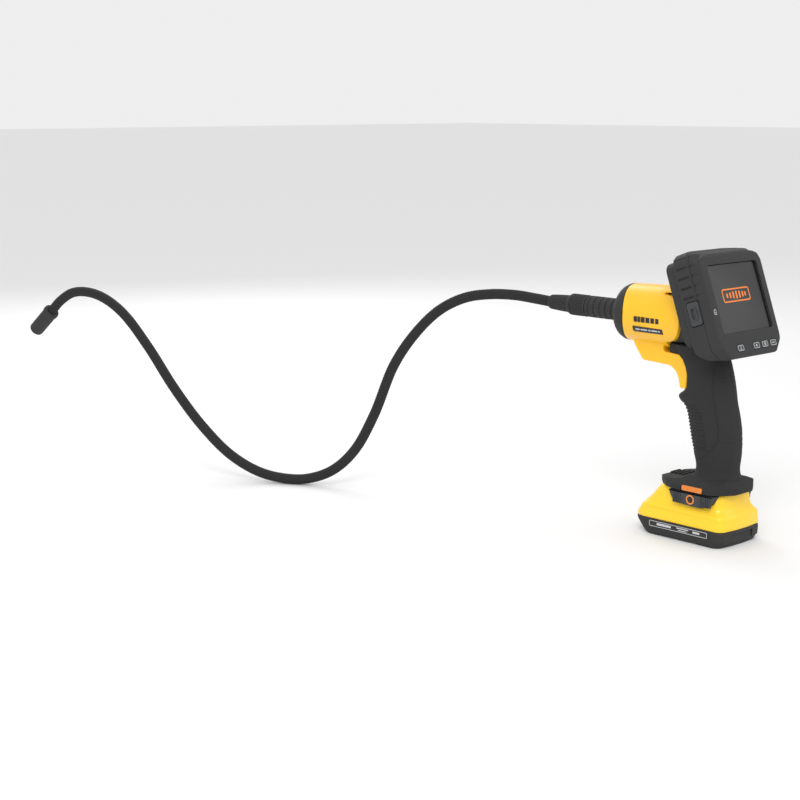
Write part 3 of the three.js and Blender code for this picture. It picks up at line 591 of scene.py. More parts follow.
class INSPECT_OT_pack(bpy.types.Operator):
    """Makes the battery pack's tray, shell, labels and release buttons."""
    bl_idname = "inspect.pack"
    bl_label = "Battery pack"

    def execute(self, context):
        self.tray()
        self.shell()
        for name, side in SIDES.items():
            self.label(name, side)
            self.release(name, side)
        return {"FINISHED"}

    def tray(self):
        base = form("pack_tray", BASE_FORM, 1.0, 0.8)
        cut(base, brick((-FAR, FAR), (-21, 27), (-2, 1.5)),
            slab("well", rounded(box_corners(-29, 29, CAVITY.rear, CAVITY.front, 4)), 3.4, 30),
            brick((-17, 17), (-60, PACK_LOW.low[1] + 2.2), (3.5, 13)))
        for y in (-41, 39):
            cut(base, rod(3.6, (0, y, -2), (0, y, 3.3)))
        finish(base, "black_plastic", "battery_pack", "battery_lower_case")

    def shell(self):
        body = form("pack_shell", SHELL_FORM, 1.5, 1.2)
        stem = slab("stem", rounded(box_corners(-STEM.half, STEM.half, STEM.rear, STEM.front, 2)),
                    45, PACK_HIGH.high[2], rims=(0, 0.8))
        join(body, stem)
        cut(body, slab("well", rounded(box_corners(-CAVITY.half, CAVITY.half, CAVITY.rear, CAVITY.front, 4)),
                       10, CAVITY.top))
        for x in (-4.5, 0, 4.5):
            cut(body, brick((x - 1, x + 1), (STEM.rear + 3, STEM.front - 3), (55, 80)))
        for side in SIDES.values():
            x = sorted((side * 19.2, side * 60))
            cut(body, slab("pocket", release_outline(GAP), *x, axes="side"))
            # A shallow line along the flank, under the flare.
            x = sorted((side * 31.5, side * 60))
            cut(body, slab("groove", rounded(box_corners(-34.4, 38.4, 27.2, 27.9, 0.3)), *x, axes="side"))
        finish(body, "pack_yellow", "battery_pack", "battery_upper_case")

    def label(self, name, side):
        film = extent("battery_label_" + name)
        outer = rounded(box_corners(film.low[1], film.high[1], film.low[2], film.high[2], 1.6))
        x = sorted((side * 32.4, side * 32.9))
        sheet = slab("pack_label_" + name, outer, *x, axes="side")
        finish(sheet, "label_film", "battery_pack", "battery_label_" + name)
        face = sorted((side * 32.75, side * 33.0))
        line = inset(outer, 0.9)
        frame_line = hoop("pack_label_line_" + name, line, 0.5, *face, axes="side")
        marks = [plate_outline(y, film.mid[2] + dz, wide, tall, 0.3)
                 for y, dz, wide, tall in ((18, 0.2, 17, 2.2), (-4, 0.9, 14, 1.1), (-4, -1.1, 10, 0.8),
                                           (-20, 0.2, 8, 2.0))]
        for outline in marks:
            join(frame_line, slab("mark", outline, *face, axes="side"))
        finish(frame_line, "print_pale", "battery_pack")

    def release(self, name, side):
        body = "release_button_" + name
        x = sorted((side * 21.9, side * (BUTTON.high[0] - 0.9)))
        rims = (0, 1.2) if side > 0 else (1.2, 0)
        button = slab("release_" + name, release_outline(0), *x, axes="side", rims=rims)
        for y in (-33.5, -31, -28.5, -26, -23.5, 0.5, 3, 5.5, 8):
            low = 37.8 if y < -12 else 37.2
            rib = sorted((side * 30, side * BUTTON.high[0]))
            ribs = (0, 0.6) if side > 0 else (0.6, 0)
            bar = rounded(box_corners(y - 0.7, y + 0.7, low, 47.6, 0.5))
            join(button, slab("rib", bar, *rib, axes="side", rims=ribs))
        finish(button, "button_grey", body, body)
        face = sorted((side * (BUTTON.high[0] - 1.3), side * (BUTTON.high[0] - 0.55)))
        ring = hoop("release_ring_" + name, circle(-11.5, 42.6, 4.6), 1.3, *face, axes="side")
        finish(ring, "orange_trim", body)
        dot = slab("release_dot_" + name, circle(-11.5, 42.6, 2.4), *face, axes="side",
                   rims=(0, 0.3) if side > 0 else (0.3, 0))
        finish(dot, "black_plastic", body)


# ------------------------------------------------------------------ grip and foot
RING = 200
CORE_RADIUS = 25.7


def grip_ring(z, angle):
    """Points round the handle at a height: a superellipse that flares out above the foot."""
    front, rear = (eased(z, HANDLE_PROFILE, k, 2.2) for k in (1, 2))
    flare = 7 * max(0.0, (73 - z) / 17) ** 2.2
    middle, depth, half = (front + rear) / 2, (front - rear) / 2 + flare, HANDLE_HALF + flare
    cosine, sine = np.cos(angle), np.sin(angle)
    total = np.abs(cosine / half) ** HANDLE_POWER + np.abs(sine / depth) ** HANDLE_POWER
    scale = total ** (-1 / HANDLE_POWER)
    return np.column_stack([scale * cosine, middle + scale * sine])


def foot_solid():
    """The foot over the pack: a ribbed tongue in front and a thin rim behind."""
    plan = rounded(mirrored([(9, -52.6, 16), (26, -42, 6), (33.4, -34, 6), (33.4, 10, 6), (29, 20, 4),
                             (21, 30, 5), (12, 38, 4), (5, 41.5, 4)]))
    side = rounded([(41.5, 50.1, 0.3), (41.5, 52.6, 1.5), (38, 55.8, 4), (32, 57.4, 5), (9, 59, 8),
                    (2, 62.6, 5),
                    (-39, 62.6, 6), (-51, 56, 6), (-54, 53.4, 1), (-53.4, 52, 0.6), (-49, 50.1, 1)])
    rear = rounded(mirrored([(33.4, 50.1, 0.4), (33.4, 54.9, 1), (29, 57.4, 5), (17.5, 62.8, 5)]))
    foot = share(slab("foot", plan, 50.1, 66), slab("side", side, -40, 40, axes="side"),
                 slab("rear", rear, -60, 50, axes="rear"))
    melt(foot, 0.6, 5)
    for y in (15.5, 20.5, 25.5, 30.5):
        join(foot, slab("rib", rounded(box_corners(-14 + 0.22 * y, 14 - 0.22 * y, y - 1.1, y + 1.1, 0.6)),
                        54, 60.2 - 0.04 * (y - 9), rims=(0, 0.6)))
    for side_x in (LEFT, RIGHT):
        for y in (-38, -1, 13.5):
            edge = side_x * 33.4
            cut(foot, brick(sorted((edge - side_x * 0.7, edge + side_x * 4)), (y - 0.45, y + 0.45), (48, 60)))
    return foot


def seam_gap(y, z):
    """Distance of points (y, z) to the seam beside the palm."""
    best = np.full(len(y), 99.0)
    for a, b in zip(GRIP_SEAM[:-1], GRIP_SEAM[1:]):
        run = b - a
        t = np.clip(((y - a[0]) * run[0] + (z - a[1]) * run[1]) / (run @ run), 0, 1)
        best = np.minimum(best, np.hypot(y - a[0] - t * run[0], z - a[1] - t * run[1]))
    return best


def groove(distance, width, depth):
    return -depth * np.exp(-(distance / width) ** 2)


def grip_relief(y, z, front):
    """How far the grip's surface stands out of its plain shape at points seen from the side."""
    seam_y = np.interp(z, GRIP_SEAM[::-1, 1], GRIP_SEAM[::-1, 0])
    relief = groove(seam_gap(y, z), 0.9, 0.95) * smoothstep(76, 80, z)
    ahead = smoothstep(2.2, 3.6, y - seam_y) * smoothstep(0.5, 2, 40 - y)
    ribs = 0.55 * (np.cos(z * math.tau / 3.2) - 1) * smoothstep(84, 86, z) * smoothstep(131, 129, z)
    relief = relief + ribs * ahead * smoothstep(front - 27, front - 24, y)
    behind = smoothstep(1.5, 2.6, seam_y - y)
    for height in (98.4, 103.6):
        relief = relief + groove(z - height - 0.12 * (y + 30), 0.55, 0.55) * behind
    for height in (156.5, 160.0):
        relief = relief + groove(z - height, 0.5, 0.35) * behind
    relief = relief + groove(z - 71.5 - 0.004 * (y + 18) ** 2, 0.7, 0.5)
    return relief


class INSPECT_OT_grip(bpy.types.Operator):
    """Makes the rubber grip halves with their foot, and the foot's badges."""
    bl_idname = "inspect.grip"
    bl_label = "Grip"

    def execute(self, context):
        angle = np.linspace(0, math.tau, RING, endpoint=False)
        heights = np.arange(54.0, 186.1, 0.7)
        rings = []
        for z in heights:
            outline = grip_ring(z, angle)
            if z > 74:
                middle = (outline[:, 1].max() + outline[:, 1].min()) / 2
                front = outline[:, 1].max()
                offset = outline - (0, middle)
                length = np.linalg.norm(offset, axis=1)
                relief = grip_relief(outline[:, 1], np.full(RING, z), front)
                relief = relief * smoothstep(0.5, 6, np.abs(offset[:, 0]))
                outline = offset * ((length + relief) / length)[:, None] + (0, middle)
            rings.append(np.column_stack([outline, np.full(RING, z)]))
        grip = skin("grip", rings)
        wedge = rounded([(4, 172, 1), (20.8, 175.6, 2), (33, 176.8, 1), (32.6, 186, 1), (4, 186, 1)])
        join(grip, slab("wedge", wedge, -13, 13, axes="side", rims=(1, 1)), foot_solid())
        cut(grip, *rooms_in_grip())
        found = halves(grip, "grip_shell_{}")
        for name, piece in found.items():
            finish(piece, "grip_rubber", "tool", "grip_" + name, sharp=50)
            self.badge(name, SIDES[name])
        return {"FINISHED"}

    def badge(self, name, side):
        film = extent("foot_badge_" + name)
        outer = rounded(box_corners(film.low[1], film.high[1], film.low[2], film.high[2], 1.5))
        rim = hoop("foot_badge_rim_" + name, outer, 1.0, *sorted((side * 33.1, side * 34.2)), axes="side")
        finish(rim, "orange_trim", "tool", "foot_badge_" + name)
        plate = slab("foot_badge_plate_" + name, inset(outer, 1.0), *sorted((side * 33.1, side * 33.9)),
                     axes="side")
        for y in (-21, -18.6, -16.2, -13.8, -11.4, -9):
            bar = rounded(box_corners(y - 0.6, y + 0.6, film.low[2] + 1.7, film.high[2] - 1.7, 0.3))
            join(plate, slab("bar", bar, *sorted((side * 33.2, side * 34.15)), axes="side"))
        finish(plate, "orange_trim", "tool")


def under_outline(grow):
    """The block under the barrel and its strip down to the finger stop, seen from the side."""
    corners = [(12, 144, 1), (18.8, 144, 1.5), (21, 154, 10), (24.5, 160, 6), (31, 164.4, 8), (49, 165.4, 20),
               (64, 166, 4), (68, 171, 4), (76, 182, 6), (76, 190, 0.5), (40.5, 190, 0.5), (39.5, 177.2, 2),
               (21, 176, 6), (15.5, 172, 3), (12, 165, 5), (11, 157, 5)]
    return inset(rounded(corners, 7), -grow)


def display_room():
    """Everything behind the dock's front face, above the handle's neck."""
    room = brick((-FAR, FAR), (-FAR, DOCK_FRONT + GAP), (-FAR, FAR), UNIT)
    return share(room, brick((-FAR, FAR), (-FAR, FAR), (181, FAR)))


def rooms_in_grip():
    """What the grip leaves free: the display's dock, the barrel, the stem and the middle of the handle."""
    stem = box_corners(-STEM.half - GAP, STEM.half + GAP, STEM.rear - GAP, STEM.front + GAP, 1)
    return [
        display_room(),
        slab("barrel_room", circle(0, AXIS_Z, BARREL_RADIUS + GAP, 96), 35, FAR, axes="rear"),
        slab("rear_room", circle(0, AXIS_Z, CORE_RADIUS + GAP, 96), -FAR, 36, axes="rear"),
        slab("under_room", under_outline(GAP), -FAR, FAR, axes="side"),
        slab("stem_room", rounded(stem), 40, 84),
        brick((-8, 8), (-24, -6), (80, 172)),
    ]


# ------------------------------------------------------------------ barrel housing
SWEEP_Y, SWEEP_RADIUS = 27.0, 59.5
ARC_Y, ARC_RADIUS = 32.8, 22.5
ROOF_LOW, ROOF_REAR = 234.5, 11.0
UNDER_HALF = 14.0
BORE = 26.0


def sweep_room(grow):
    """The barrel keeps only what lies in this round-fronted room; the nose ring starts past it."""
    radius = SWEEP_RADIUS + grow
    angle = np.linspace(0, math.pi, 97)
    front = np.column_stack([radius * np.cos(angle), SWEEP_Y + radius * np.sin(angle)])
    outline = np.vstack([front, [(-radius, -FAR), (radius, -FAR)]])
    return slab("sweep", outline, 100, 300)


def rear_keep():
    """What the barrel keeps at its rear, seen from the side: a round end, a notch and the roof."""
    top = AXIS_Z + ARC_RADIUS
    angle = np.linspace(math.radians(-90), math.radians(-270), 61)
    arc = np.column_stack([ARC_Y + ARC_RADIUS * np.cos(angle), AXIS_Z + ARC_RADIUS * np.sin(angle)])
    outline = np.vstack([
        [(FAR, 100), (ARC_Y + 4, 100), (ARC_Y + 2.5, 172), (ARC_Y + 0.5, AXIS_Z - ARC_RADIUS - 2)], arc,
        [(ARC_Y + 3, top), (ARC_Y + 4, top + 0.7), (ARC_Y + 3.2, ROOF_LOW), (ROOF_REAR, ROOF_LOW),
         (ROOF_REAR, FAR), (FAR, FAR)]])
    return slab("rear_keep", outline, -FAR, FAR, axes="side")


class INSPECT_OT_housing(bpy.types.Operator):
    """Makes the yellow barrel halves, the nose ring, the stripe labels and the thumb dial."""
    bl_idname = "inspect.housing"
    bl_label = "Housing"

    def execute(self, context):
        barrel = turned("barrel", [(10, 0.2, 0.1), (10, BARREL_RADIUS, 0.5), (42, BARREL_RADIUS, 20),
                                   (90, 28.2, 0.2), (90, 0.2, 0.1)], 144)
        share(barrel, sweep_room(0), rear_keep())
        under = slab("under", under_outline(0), -UNDER_HALF, UNDER_HALF, axes="side")
        join(barrel, under)
        melt(barrel, 0.55, 12)
        cut(barrel, rod(BORE, (0, -60, AXIS_Z), (0, 120, AXIS_Z), 96),
            brick((-11, 11), (40, 62), (169, 190)), self.dial_slot(), display_room())
        cut(barrel, rod(3.6, (10.4, 34, 173), (40, 34, 173)))
        for name, piece in halves(barrel, "barrel_shell_{}").items():
            finish(piece, "housing_yellow", "tool", "housing_" + name, sharp=40)
            self.stripe(name, SIDES[name])
        self.nose()
        self.dial()
        return {"FINISHED"}

    def dial_slot(self):
        place = extent("dimmer_dial")
        _, y, z = place.mid
        return rod(place.size[2] / 2 + 1, (-3.8, y, z), (3.8, y, z), 48)

    def stripe(self, name, side):
        """A printed film that follows the barrel's side, with generic bars."""
        for label, low, high, radius in (("film", 195.2, 200.6, 30.12), ("mark", 205.2, 210.4, 30.08)):
            film = rod(radius, (0, 0, AXIS_Z), (0, 120, AXIS_Z), 144)
            film.name = f"barrel_{label}_{name}"
            y0, y1 = (30.5, 66.5) if label == "film" else (34, 64)
            keep = slab("keep", rounded(box_corners(y0, y1, low, high, 0.8)), *sorted((side * 18, side * 60)),
                        axes="side")
            share(film, keep)
            cut(film, rod(radius - 1.2, (0, -10, AXIS_Z), (0, 130, AXIS_Z), 144))
            if label == "mark":
                for y in (38.6, 44.4, 50.2, 56, 59.8):
                    cut(film, brick((-60, 60), (y - 0.6, y + 0.6), (low - 1, high + 1)))
            material = "label_film" if label == "film" else "black_plastic"
            finish(film, material, "tool")
        bars = rod(30.2, (0, 0, AXIS_Z), (0, 120, AXIS_Z), 144)
        bars.name = "barrel_bars_" + name
        keep = brick(sorted((side * 18, side * 60)), (34, 36), (197.2, 198.6))
        for y0, y1 in ((37, 44), (45, 47.5), (49, 57), (58.2, 63)):
            join(keep, brick(sorted((side * 18, side * 60)), (y0, y1), (197.2, 198.6)))
        share(bars, keep)
        cut(bars, rod(29.4, (0, -10, AXIS_Z), (0, 130, AXIS_Z), 144))
        finish(bars, "print_pale", "tool")

    def nose(self):
        front = NOSE.high[1]
        ring = turned("nose_cap", [
            (60, 25.7, 0.2), (60, 28.9, 0.3), (70, 28.9, 20), (84, 28.7, 10), (89, 28, 6), (92.4, 26.4, 4),
            (95, 23.6, 3), (front, 20.2, 3), (front, 17.4, 0.5), (front - 0.8, 17.1, 0.3),
            (front - 0.8, 15.4, 0.3),
            (front, 15.1, 0.5), (front, 12.5, 0.4), (91, 12.5, 0.3), (91, 20.5, 2), (85, 25.7, 2)], 144)
        cut(ring, sweep_room(GAP))
        finish(ring, "black_plastic", "tool", "nose_ring", sharp=40)

    def dial(self):
        place = extent("dimmer_dial")
        radius, half = place.size[2] / 2, 3.5
        turn = Matrix.Translation(Vector(place.mid)) @ Matrix.Rotation(math.radians(-90), 4, "Z")
        profile = [(-half, 1.6, 0.1), (-half, radius - 0.9, 0.4), (-half + 0.9, radius, 0.3),
                   (half - 0.9, radius, 0.3), (half, radius - 0.9, 0.4), (half, 1.6, 0.1),
                   (half + 6, 1.6, 0.2), (half + 6, 0.3, 0.1), (-half - 6, 0.3, 0.1), (-half - 6, 1.6, 0.2)]
        knob = turned("thumb_dial", profile, 144, turn, splined(-half + 0.5, half - 0.5, 24, 0.6))
        finish(knob, "grip_rubber", "dimmer_dial", "dimmer_dial")


# ------------------------------------------------------------------ display
FACE = mirrored([(35, -57, 6), (46, -45, 6), (47, -39, 4), (47, 33, 8), (44, 39.5, 6), (38, 43, 8),
                 (23, 45.5, 20)])
BODY = mirrored([(35, -57, 8), (46, -45, 8), (47, -39, 6), (47, 40, 10), (44.5, 46, 6), (39, 49.8, 8),
                 (24, 52.4, 20)])
# The unit seen from the side: depth, bottom and top.
SIDE_FORM = np.array([
    [-2, -57, 40], [0.5, -57, 43.5], [2, -57, 44.4], [23, -52, 52.8], [26, -47.5, 54], [30, -42, 51],
])
# The depth of the seam between bezel and cover.
SPLIT = 11.0
# How softly the outline meets the unit's top and bottom.
EDGE = 0.7
PORT_GAP = 0.8
RAIL_X, RAIL_ROOM = 24, 3
SLOT_ROWS = (45.0, 35.8, 26.6, 17.4, 8.2)
POINTS = 460


def unit_outline(y):
    """The display's outline at a depth, from its face towards its back."""
    mix = smoothstep(1.5, 10, y)
    face, body = even(rounded(FACE, 9), POINTS), even(rounded(BODY, 9), POINTS)
    outline = face * (1 - mix) + body * mix
    low, high = (eased(y, SIDE_FORM, k, 1.4) for k in (1, 2))
    z = outline[:, 1]
    z = high - EDGE * np.logaddexp(0, (high - z) / EDGE)
    z = low + EDGE * np.logaddexp(0, (z - low) / EDGE)
    return np.column_stack([outline[:, 0], z])


def unit_relief(y, outline):
    """The grooves between the pads on the display's sides and across its top."""
    x, z = outline[:, 0], outline[:, 1]
    flank = smoothstep(44, 45.5, np.abs(x)) * smoothstep(4, 6, z)
    band = smoothstep(14, 15, y) * smoothstep(28, 27, y)
    fore = smoothstep(3.2, 4.2, y) * smoothstep(12.6, 12, y)
    depth = np.zeros(len(x))
    for row in SLOT_ROWS:
        depth -= 1.5 * np.exp(-((z - row) / 0.8) ** 2) * flank * (band + 0.6 * fore)
    depth -= 0.9 * math.exp(-((y - 13.4) / 0.7) ** 2) * smoothstep(-1, 3, z)
    low_flank = smoothstep(44, 45.5, np.abs(x)) * smoothstep(-15, -17, z) * smoothstep(-40, -38, z)
    depth -= 0.7 * low_flank * math.exp(-((y - 24.5) / 0.6) ** 2)
    depth -= 0.6 * np.exp(-((z + 17) / 0.6) ** 2) * smoothstep(44, 45.5, np.abs(x)) * band
    top = smoothstep(46, 48, z) * smoothstep(30, 33, np.abs(x))
    depth -= 0.5 * math.exp(-((y - 20.5) / 0.6) ** 2) * top
    return depth


def unit_solid(name, low, high, rims):
    rings = []
    for y, amount in levels(low, high, rims, 0.7):
        outline = unit_outline(y)
        if y > low + 0.05 and y < high - 0.05:
            outline = outline if amount else push(outline, unit_relief(y, outline))
        outline = inset(outline, amount)
        rings.append(np.column_stack([outline[:, 0], np.full(POINTS, y), outline[:, 1]]))
    return skin(name, rings, place=UNIT)


def push(outline, amounts):
    """The outline moved out, point by point, along its normals."""
    step = np.roll(outline, -1, 0) - np.roll(outline, 1, 0)
    normal = np.stack([step[:, 1], -step[:, 0]], 1) / np.maximum(np.linalg.norm(step, axis=1), 1e-9)[:, None]
    following = np.roll(outline, -1, 0)
    area = np.sum(outline[:, 0] * following[:, 1] - following[:, 0] * outline[:, 1])
    return outline + normal * (amounts * math.copysign(1, area))[:, None]


def in_unit(name, outline, y0, y1, rims=(0, 0)):
    """A slab in the display's own place, its outline seen from the front."""
    return slab(name, outline, y0, y1, axes="rear", rims=rims, place=UNIT)


class INSPECT_OT_display(bpy.types.Operator):
    """Makes the display's bezel, cover, glass, buttons, marks and port cover."""
    bl_idname = "inspect.display"
    bl_label = "Display"

    def execute(self, context):
        self.bezel()
        self.cover()
        self.glass()
        for name, glyph in (("power_button", "ring"), ("menu_button_1", "back"), ("menu_button_2", "bars"),
                            ("menu_button_3", "dots")):
            self.button(name, glyph)
        self.card_mark()
        self.port()
        return {"FINISHED"}

    def bezel(self):
        window = extent("screen_window", UNIT)
        front = BEZEL.low[1]
        piece = unit_solid("display_bezel", front, SPLIT - 0.15, (1.6, 0.4))
        cut(piece, in_unit("well", unit_inside(2.6), 3.2, 20))
        around = box_corners(window.low[0] - 0.15, window.high[0] + 0.15, window.low[2] - 0.15,
                             window.high[2] + 0.15, 3)
        cut(piece, in_unit("glass_bed", rounded(around), front - 1, window.high[1] + 0.2))
        cut(piece, in_unit("view", rounded(box_corners(-36, 36, -29.5, 32.5, 2)), -3, 12))
        for name in ("power_button", "menu_button_1", "menu_button_2", "menu_button_3"):
            place = extent(name, UNIT)
            wide, tall = place.size[0] + 0.5, place.size[2] + 0.5
            cut(piece, in_unit("hole", plate_outline(place.mid[0], place.mid[2], wide, tall, 2), -4, 6))
        finish(piece, "black_plastic", "display", "screen_bezel", sharp=38)

    def cover(self):
        piece = unit_solid("display_cover", SPLIT + 0.15, 30, (0.4, 2.0))
        cut(piece, in_unit("well", unit_inside(3.2), 2, 27))
        port = extent("port_cover", UNIT)
        room = rounded(box_corners(port.low[1] - PORT_GAP, port.high[1] + PORT_GAP, port.low[2] - PORT_GAP,
                                   port.high[2] + PORT_GAP, 2.6))
        x = sorted((port.low[0] - 6, port.low[0] + 3.4))
        cut(piece, slab("port_room", room, *x, axes="side", place=UNIT))
        for name in ("screen_screw_1", "screen_screw_2", "screen_screw_3", "screen_screw_4"):
            place = extent(name, UNIT)
            cut(piece, rod(place.size[0] / 2 + 0.4, (place.mid[0], place.low[1] - 1, place.mid[2]),
                           (place.mid[0], 34, place.mid[2]), 24, UNIT))
        for side in SIDES.values():
            # The slot that the dock's rail slides in, open below.
            x = (side * RAIL_X - RAIL_ROOM, side * RAIL_X + RAIL_ROOM)
            cut(piece, brick(x, (25.5, 34), (-70, 37.8), UNIT), tangled=True)
        finish(piece, "black_plastic", "display", "screen_rear_cover", sharp=38)

    def glass(self):
        window = WINDOW
        outline = rounded(box_corners(window.low[0], window.high[0], window.low[2], window.high[2], 2.8))
        pane = in_unit("display_window", outline, window.low[1], window.high[1], (0.25, 0))
        finish(pane, "window_glass", "display", "screen_window")
        face = (window.low[1] - 0.06, window.low[1] + 0.3)
        mark = hoop("display_mark", plate_outline(-3, 2.5, 42, 13, 2.6), 1.3, *face, axes="rear", place=UNIT)
        for k, x in enumerate((-17, -12.2, -7.4, -2.6, 2.2, 7, 11)):
            tall = (4.2, 5.4, 6.6, 7.4, 6.6, 5.4, 4.2)[k]
            join(mark, in_unit("bar", plate_outline(x, 2.5, 2.3, tall, 0.6), *face))
        finish(mark, "print_orange", "display")

    def button(self, name, glyph):
        place = extent(name, UNIT)
        front, back = place.low[1], place.high[1]
        outline = plate_outline(place.mid[0], place.mid[2], place.size[0], place.size[2], 1.9)
        key = in_unit("key_" + name, outline, front, back, (0.7, 0))
        finish(key, "button_grey", name, name)
        face = (front - 0.1, front + 0.4)
        x, z = place.mid[0], place.mid[2]
        rim = inset(plate_outline(x, z, place.size[0], place.size[2], 1.9), 0.75)
        print_ = hoop("key_mark_" + name, rim, 0.42, *face, axes="rear", place=UNIT)
        for outline in self.glyph(glyph, x, z):
            join(print_, in_unit("line", outline, *face))
        finish(print_, "print_pale", name)

    def glyph(self, glyph, x, z):
        if glyph == "ring":
            return [plate_outline(x, z + 0.7, 0.6, 2.2, 0.2), plate_outline(x, z - 1.1, 2.2, 0.6, 0.2)]
        if glyph == "back":
            return [rounded([(x - 1.7, z, 0.1), (x + 0.6, z - 1.5, 0.1), (x + 0.6, z + 1.5, 0.1)], 3)]
        if glyph == "bars":
            return [plate_outline(x, z + dz, 3.0, 0.5, 0.2) for dz in (-1.1, 0, 1.1)]
        return [circle(x + dx, z, 0.55, 16) for dx in (-1.6, 0, 1.6)]

    def card_mark(self):
        face = (BEZEL.low[1] - 0.08, BEZEL.low[1] + 0.4)
        card = rounded([(-45.4, -13.6, 0.4), (-42, -13.6, 0.4), (-42, -8.6, 0.4), (-44.2, -8.6, 0.3),
                        (-45.4, -9.9, 0.3)], 4)
        mark = hoop("card_mark", card, 0.45, *face, axes="rear", place=UNIT)
        join(mark, in_unit("line", plate_outline(-43.7, -11.8, 1.5, 0.5, 0.15), *face))
        finish(mark, "print_pale", "display")

    def port(self):
        place = extent("port_cover", UNIT)
        outline = rounded(box_corners(place.low[1], place.high[1], place.low[2], place.high[2], 2.2))
        lid = slab("port_lid", outline, place.low[0], place.high[0], axes="side", rims=(0.5, 0), place=UNIT)
        y, z = place.mid[1:]
        oval = rounded(box_corners(y - 3.6, y + 3.6, z - 6.6, z + 6.6, 3.6))
        ring = hoop("ring", oval, 1.3, place.low[0] - 1.0, place.low[0] + 0.8, axes="side", place=UNIT)
        join(lid, ring)
        x = (place.low[0] - 2, place.low[0] + 0.7)
        cut(lid, slab("thumb", inset(oval, 1.3), *x, axes="side", place=UNIT))
        finish(lid, "button_grey", "port_cover", "port_cover")


def unit_inside(wall):
    return inset(even(rounded(FACE, 7), 160), wall)


# ------------------------------------------------------------------ socket, plug and collar
def splined(radius_from, radius_to, count, depth):
    """A radius rule that adds lengthwise splines between two positions along the axis."""
    def rule(y, radius, angle):
        if radius < 7 or not radius_from <= y <= radius_to:
            return np.full(len(angle), radius)
        wave = np.clip(np.cos(angle * count) * 1.6, -1, 1)
        return radius + depth * (wave - 1) / 2
    return rule


class INSPECT_OT_connector(bpy.types.Operator):
    """Makes the ribbed socket, the knurled collar and the fluted plug."""
    bl_idname = "inspect.connector"
    bl_label = "Connector"

    def execute(self, context):
        self.socket()
        self.collar()
        self.plug()
        return {"FINISHED"}

    def socket(self):
        start, end = SOCKET.low[1], SOCKET.high[1]
        profile = [(86.5, 6.4, 0.1), (86.5, 20, 0.4), (90.7, 20, 0.4), (90.7, 12.2, 0.4), (96.2, 12.2, 0.6),
                   (97, 10.9, 0.4)]
        for y in np.arange(100.0, 141.0, 7.6):
            profile += [(y, 10.9, 0.3), (y + 0.25, 10.0, 0.2), (y + 1.55, 10.0, 0.2), (y + 1.8, 10.9, 0.3)]
        profile += [(end - 0.8, 10.7, 0.6), (end, 9.8, 0.3), (end, 6.6, 0.2)]
        splines = splined(98, end - 1, 28, 0.45)
        piece = turned("cable_port", profile, 168, flutes=splines)
        finish(piece, "black_plastic", "tool", "cable_socket", sharp=40)

    def collar(self):
        low, high, radius = COLLAR.low[1], COLLAR.high[1], COLLAR.high[0]
        bore = 8.2
        profile = [(low, bore, 0.2), (low, radius - 0.7, 0.6), (low + 1.4, radius, 0.4),
                   (low + 1.8, radius, 0.2),
                   (low + 2.2, radius, 0.2), (high - 4.6, radius, 0.2), (high - 4.2, radius - 0.5, 0.2),
                   (high - 3.6, radius - 0.5, 0.2), (high - 3.2, radius, 0.2),
                   (high - 0.8, radius - 0.1, 0.5),
                   (high, radius - 1, 0.4), (high, bore, 0.2)]
        piece = turned("collar_knurled", profile, 216, flutes=splined(low + 1.6, high - 3.4, 36, 0.7))
        finish(piece, "black_plastic", "locking_collar", "locking_collar", sharp=40)

    def plug(self):
        low, high = COLLAR.high[1], SLEEVE.high[1]
        profile = [(SLEEVE.low[1], 0.4, 0.1), (SLEEVE.low[1], 5.6, 0.4), (144.4, 6.0, 0.4), (144.6, 7.8, 0.3),
                   (low + 0.4, 7.8, 0.2), (low + 0.4, 8.8, 0.4), (low + 3.2, 8.8, 0.3), (low + 3.5, 8.1, 0.2),
                   (low + 4.6, 8.1, 0.2), (low + 4.9, 8.75, 0.3), (low + 5.2, 8.75, 0.2),
                   (low + 14, 8.4, 0.3),
                   (high - 3, 7.6, 0.4), (high - 1, 7.3, 0.6), (high, 6.5, 0.3), (high, 0.4, 0.1)]
        piece = turned("plug_boot", profile, 168, flutes=splined(low + 5, high - 2.8, 24, 0.7))
        finish(piece, "black_plastic", "cable_plug", "plug_sleeve", sharp=40)


# ------------------------------------------------------------------ gooseneck and head
def centreline():
    """Points and distances along the gooseneck, drawn as a centripetal spline like the frame's."""
    padded = np.vstack([2 * ROUTE[0] - ROUTE[1], ROUTE, 2 * ROUTE[-1] - ROUTE[-2]])
    points = []
    for i in range(len(ROUTE) - 1):
        p = padded[i:i + 4]
        gaps = [max(np.sum((p[k + 1] - p[k]) ** 2) ** 0.25, 1e-4) for k in range(3)]
        start = (p[1] - p[0]) / gaps[0] - (p[2] - p[0]) / (gaps[0] + gaps[1]) + (p[2] - p[1]) / gaps[1]
        end = (p[2] - p[1]) / gaps[1] - (p[3] - p[1]) / (gaps[1] + gaps[2]) + (p[3] - p[2]) / gaps[2]
        start, end = start * gaps[1], end * gaps[1]
        t = np.linspace(0, 1, 80, endpoint=i == len(ROUTE) - 2)[:, None]
        a, b = 2 * p[1] - 2 * p[2] + start + end, -3 * p[1] + 3 * p[2] - 2 * start - end
        points.append(a * t ** 3 + b * t ** 2 + start * t + p[1])
    points = np.vstack(points)
    along = np.concatenate([[0], np.cumsum(np.linalg.norm(np.diff(points, axis=0), axis=1))])
    return points, along


LINE, ALONG = centreline()


def at_arc(distance):
    return np.array([np.interp(distance, ALONG, LINE[:, k]) for k in range(3)])


def tangent_at(distance):
    step = at_arc(distance + 1.5) - at_arc(distance - 1.5)
    return step / np.linalg.norm(step)


NECK_END = float(ALONG[-1])
HEAD_AXIS = Vector((-0.04991, 0.79886, -0.59945)).normalized()
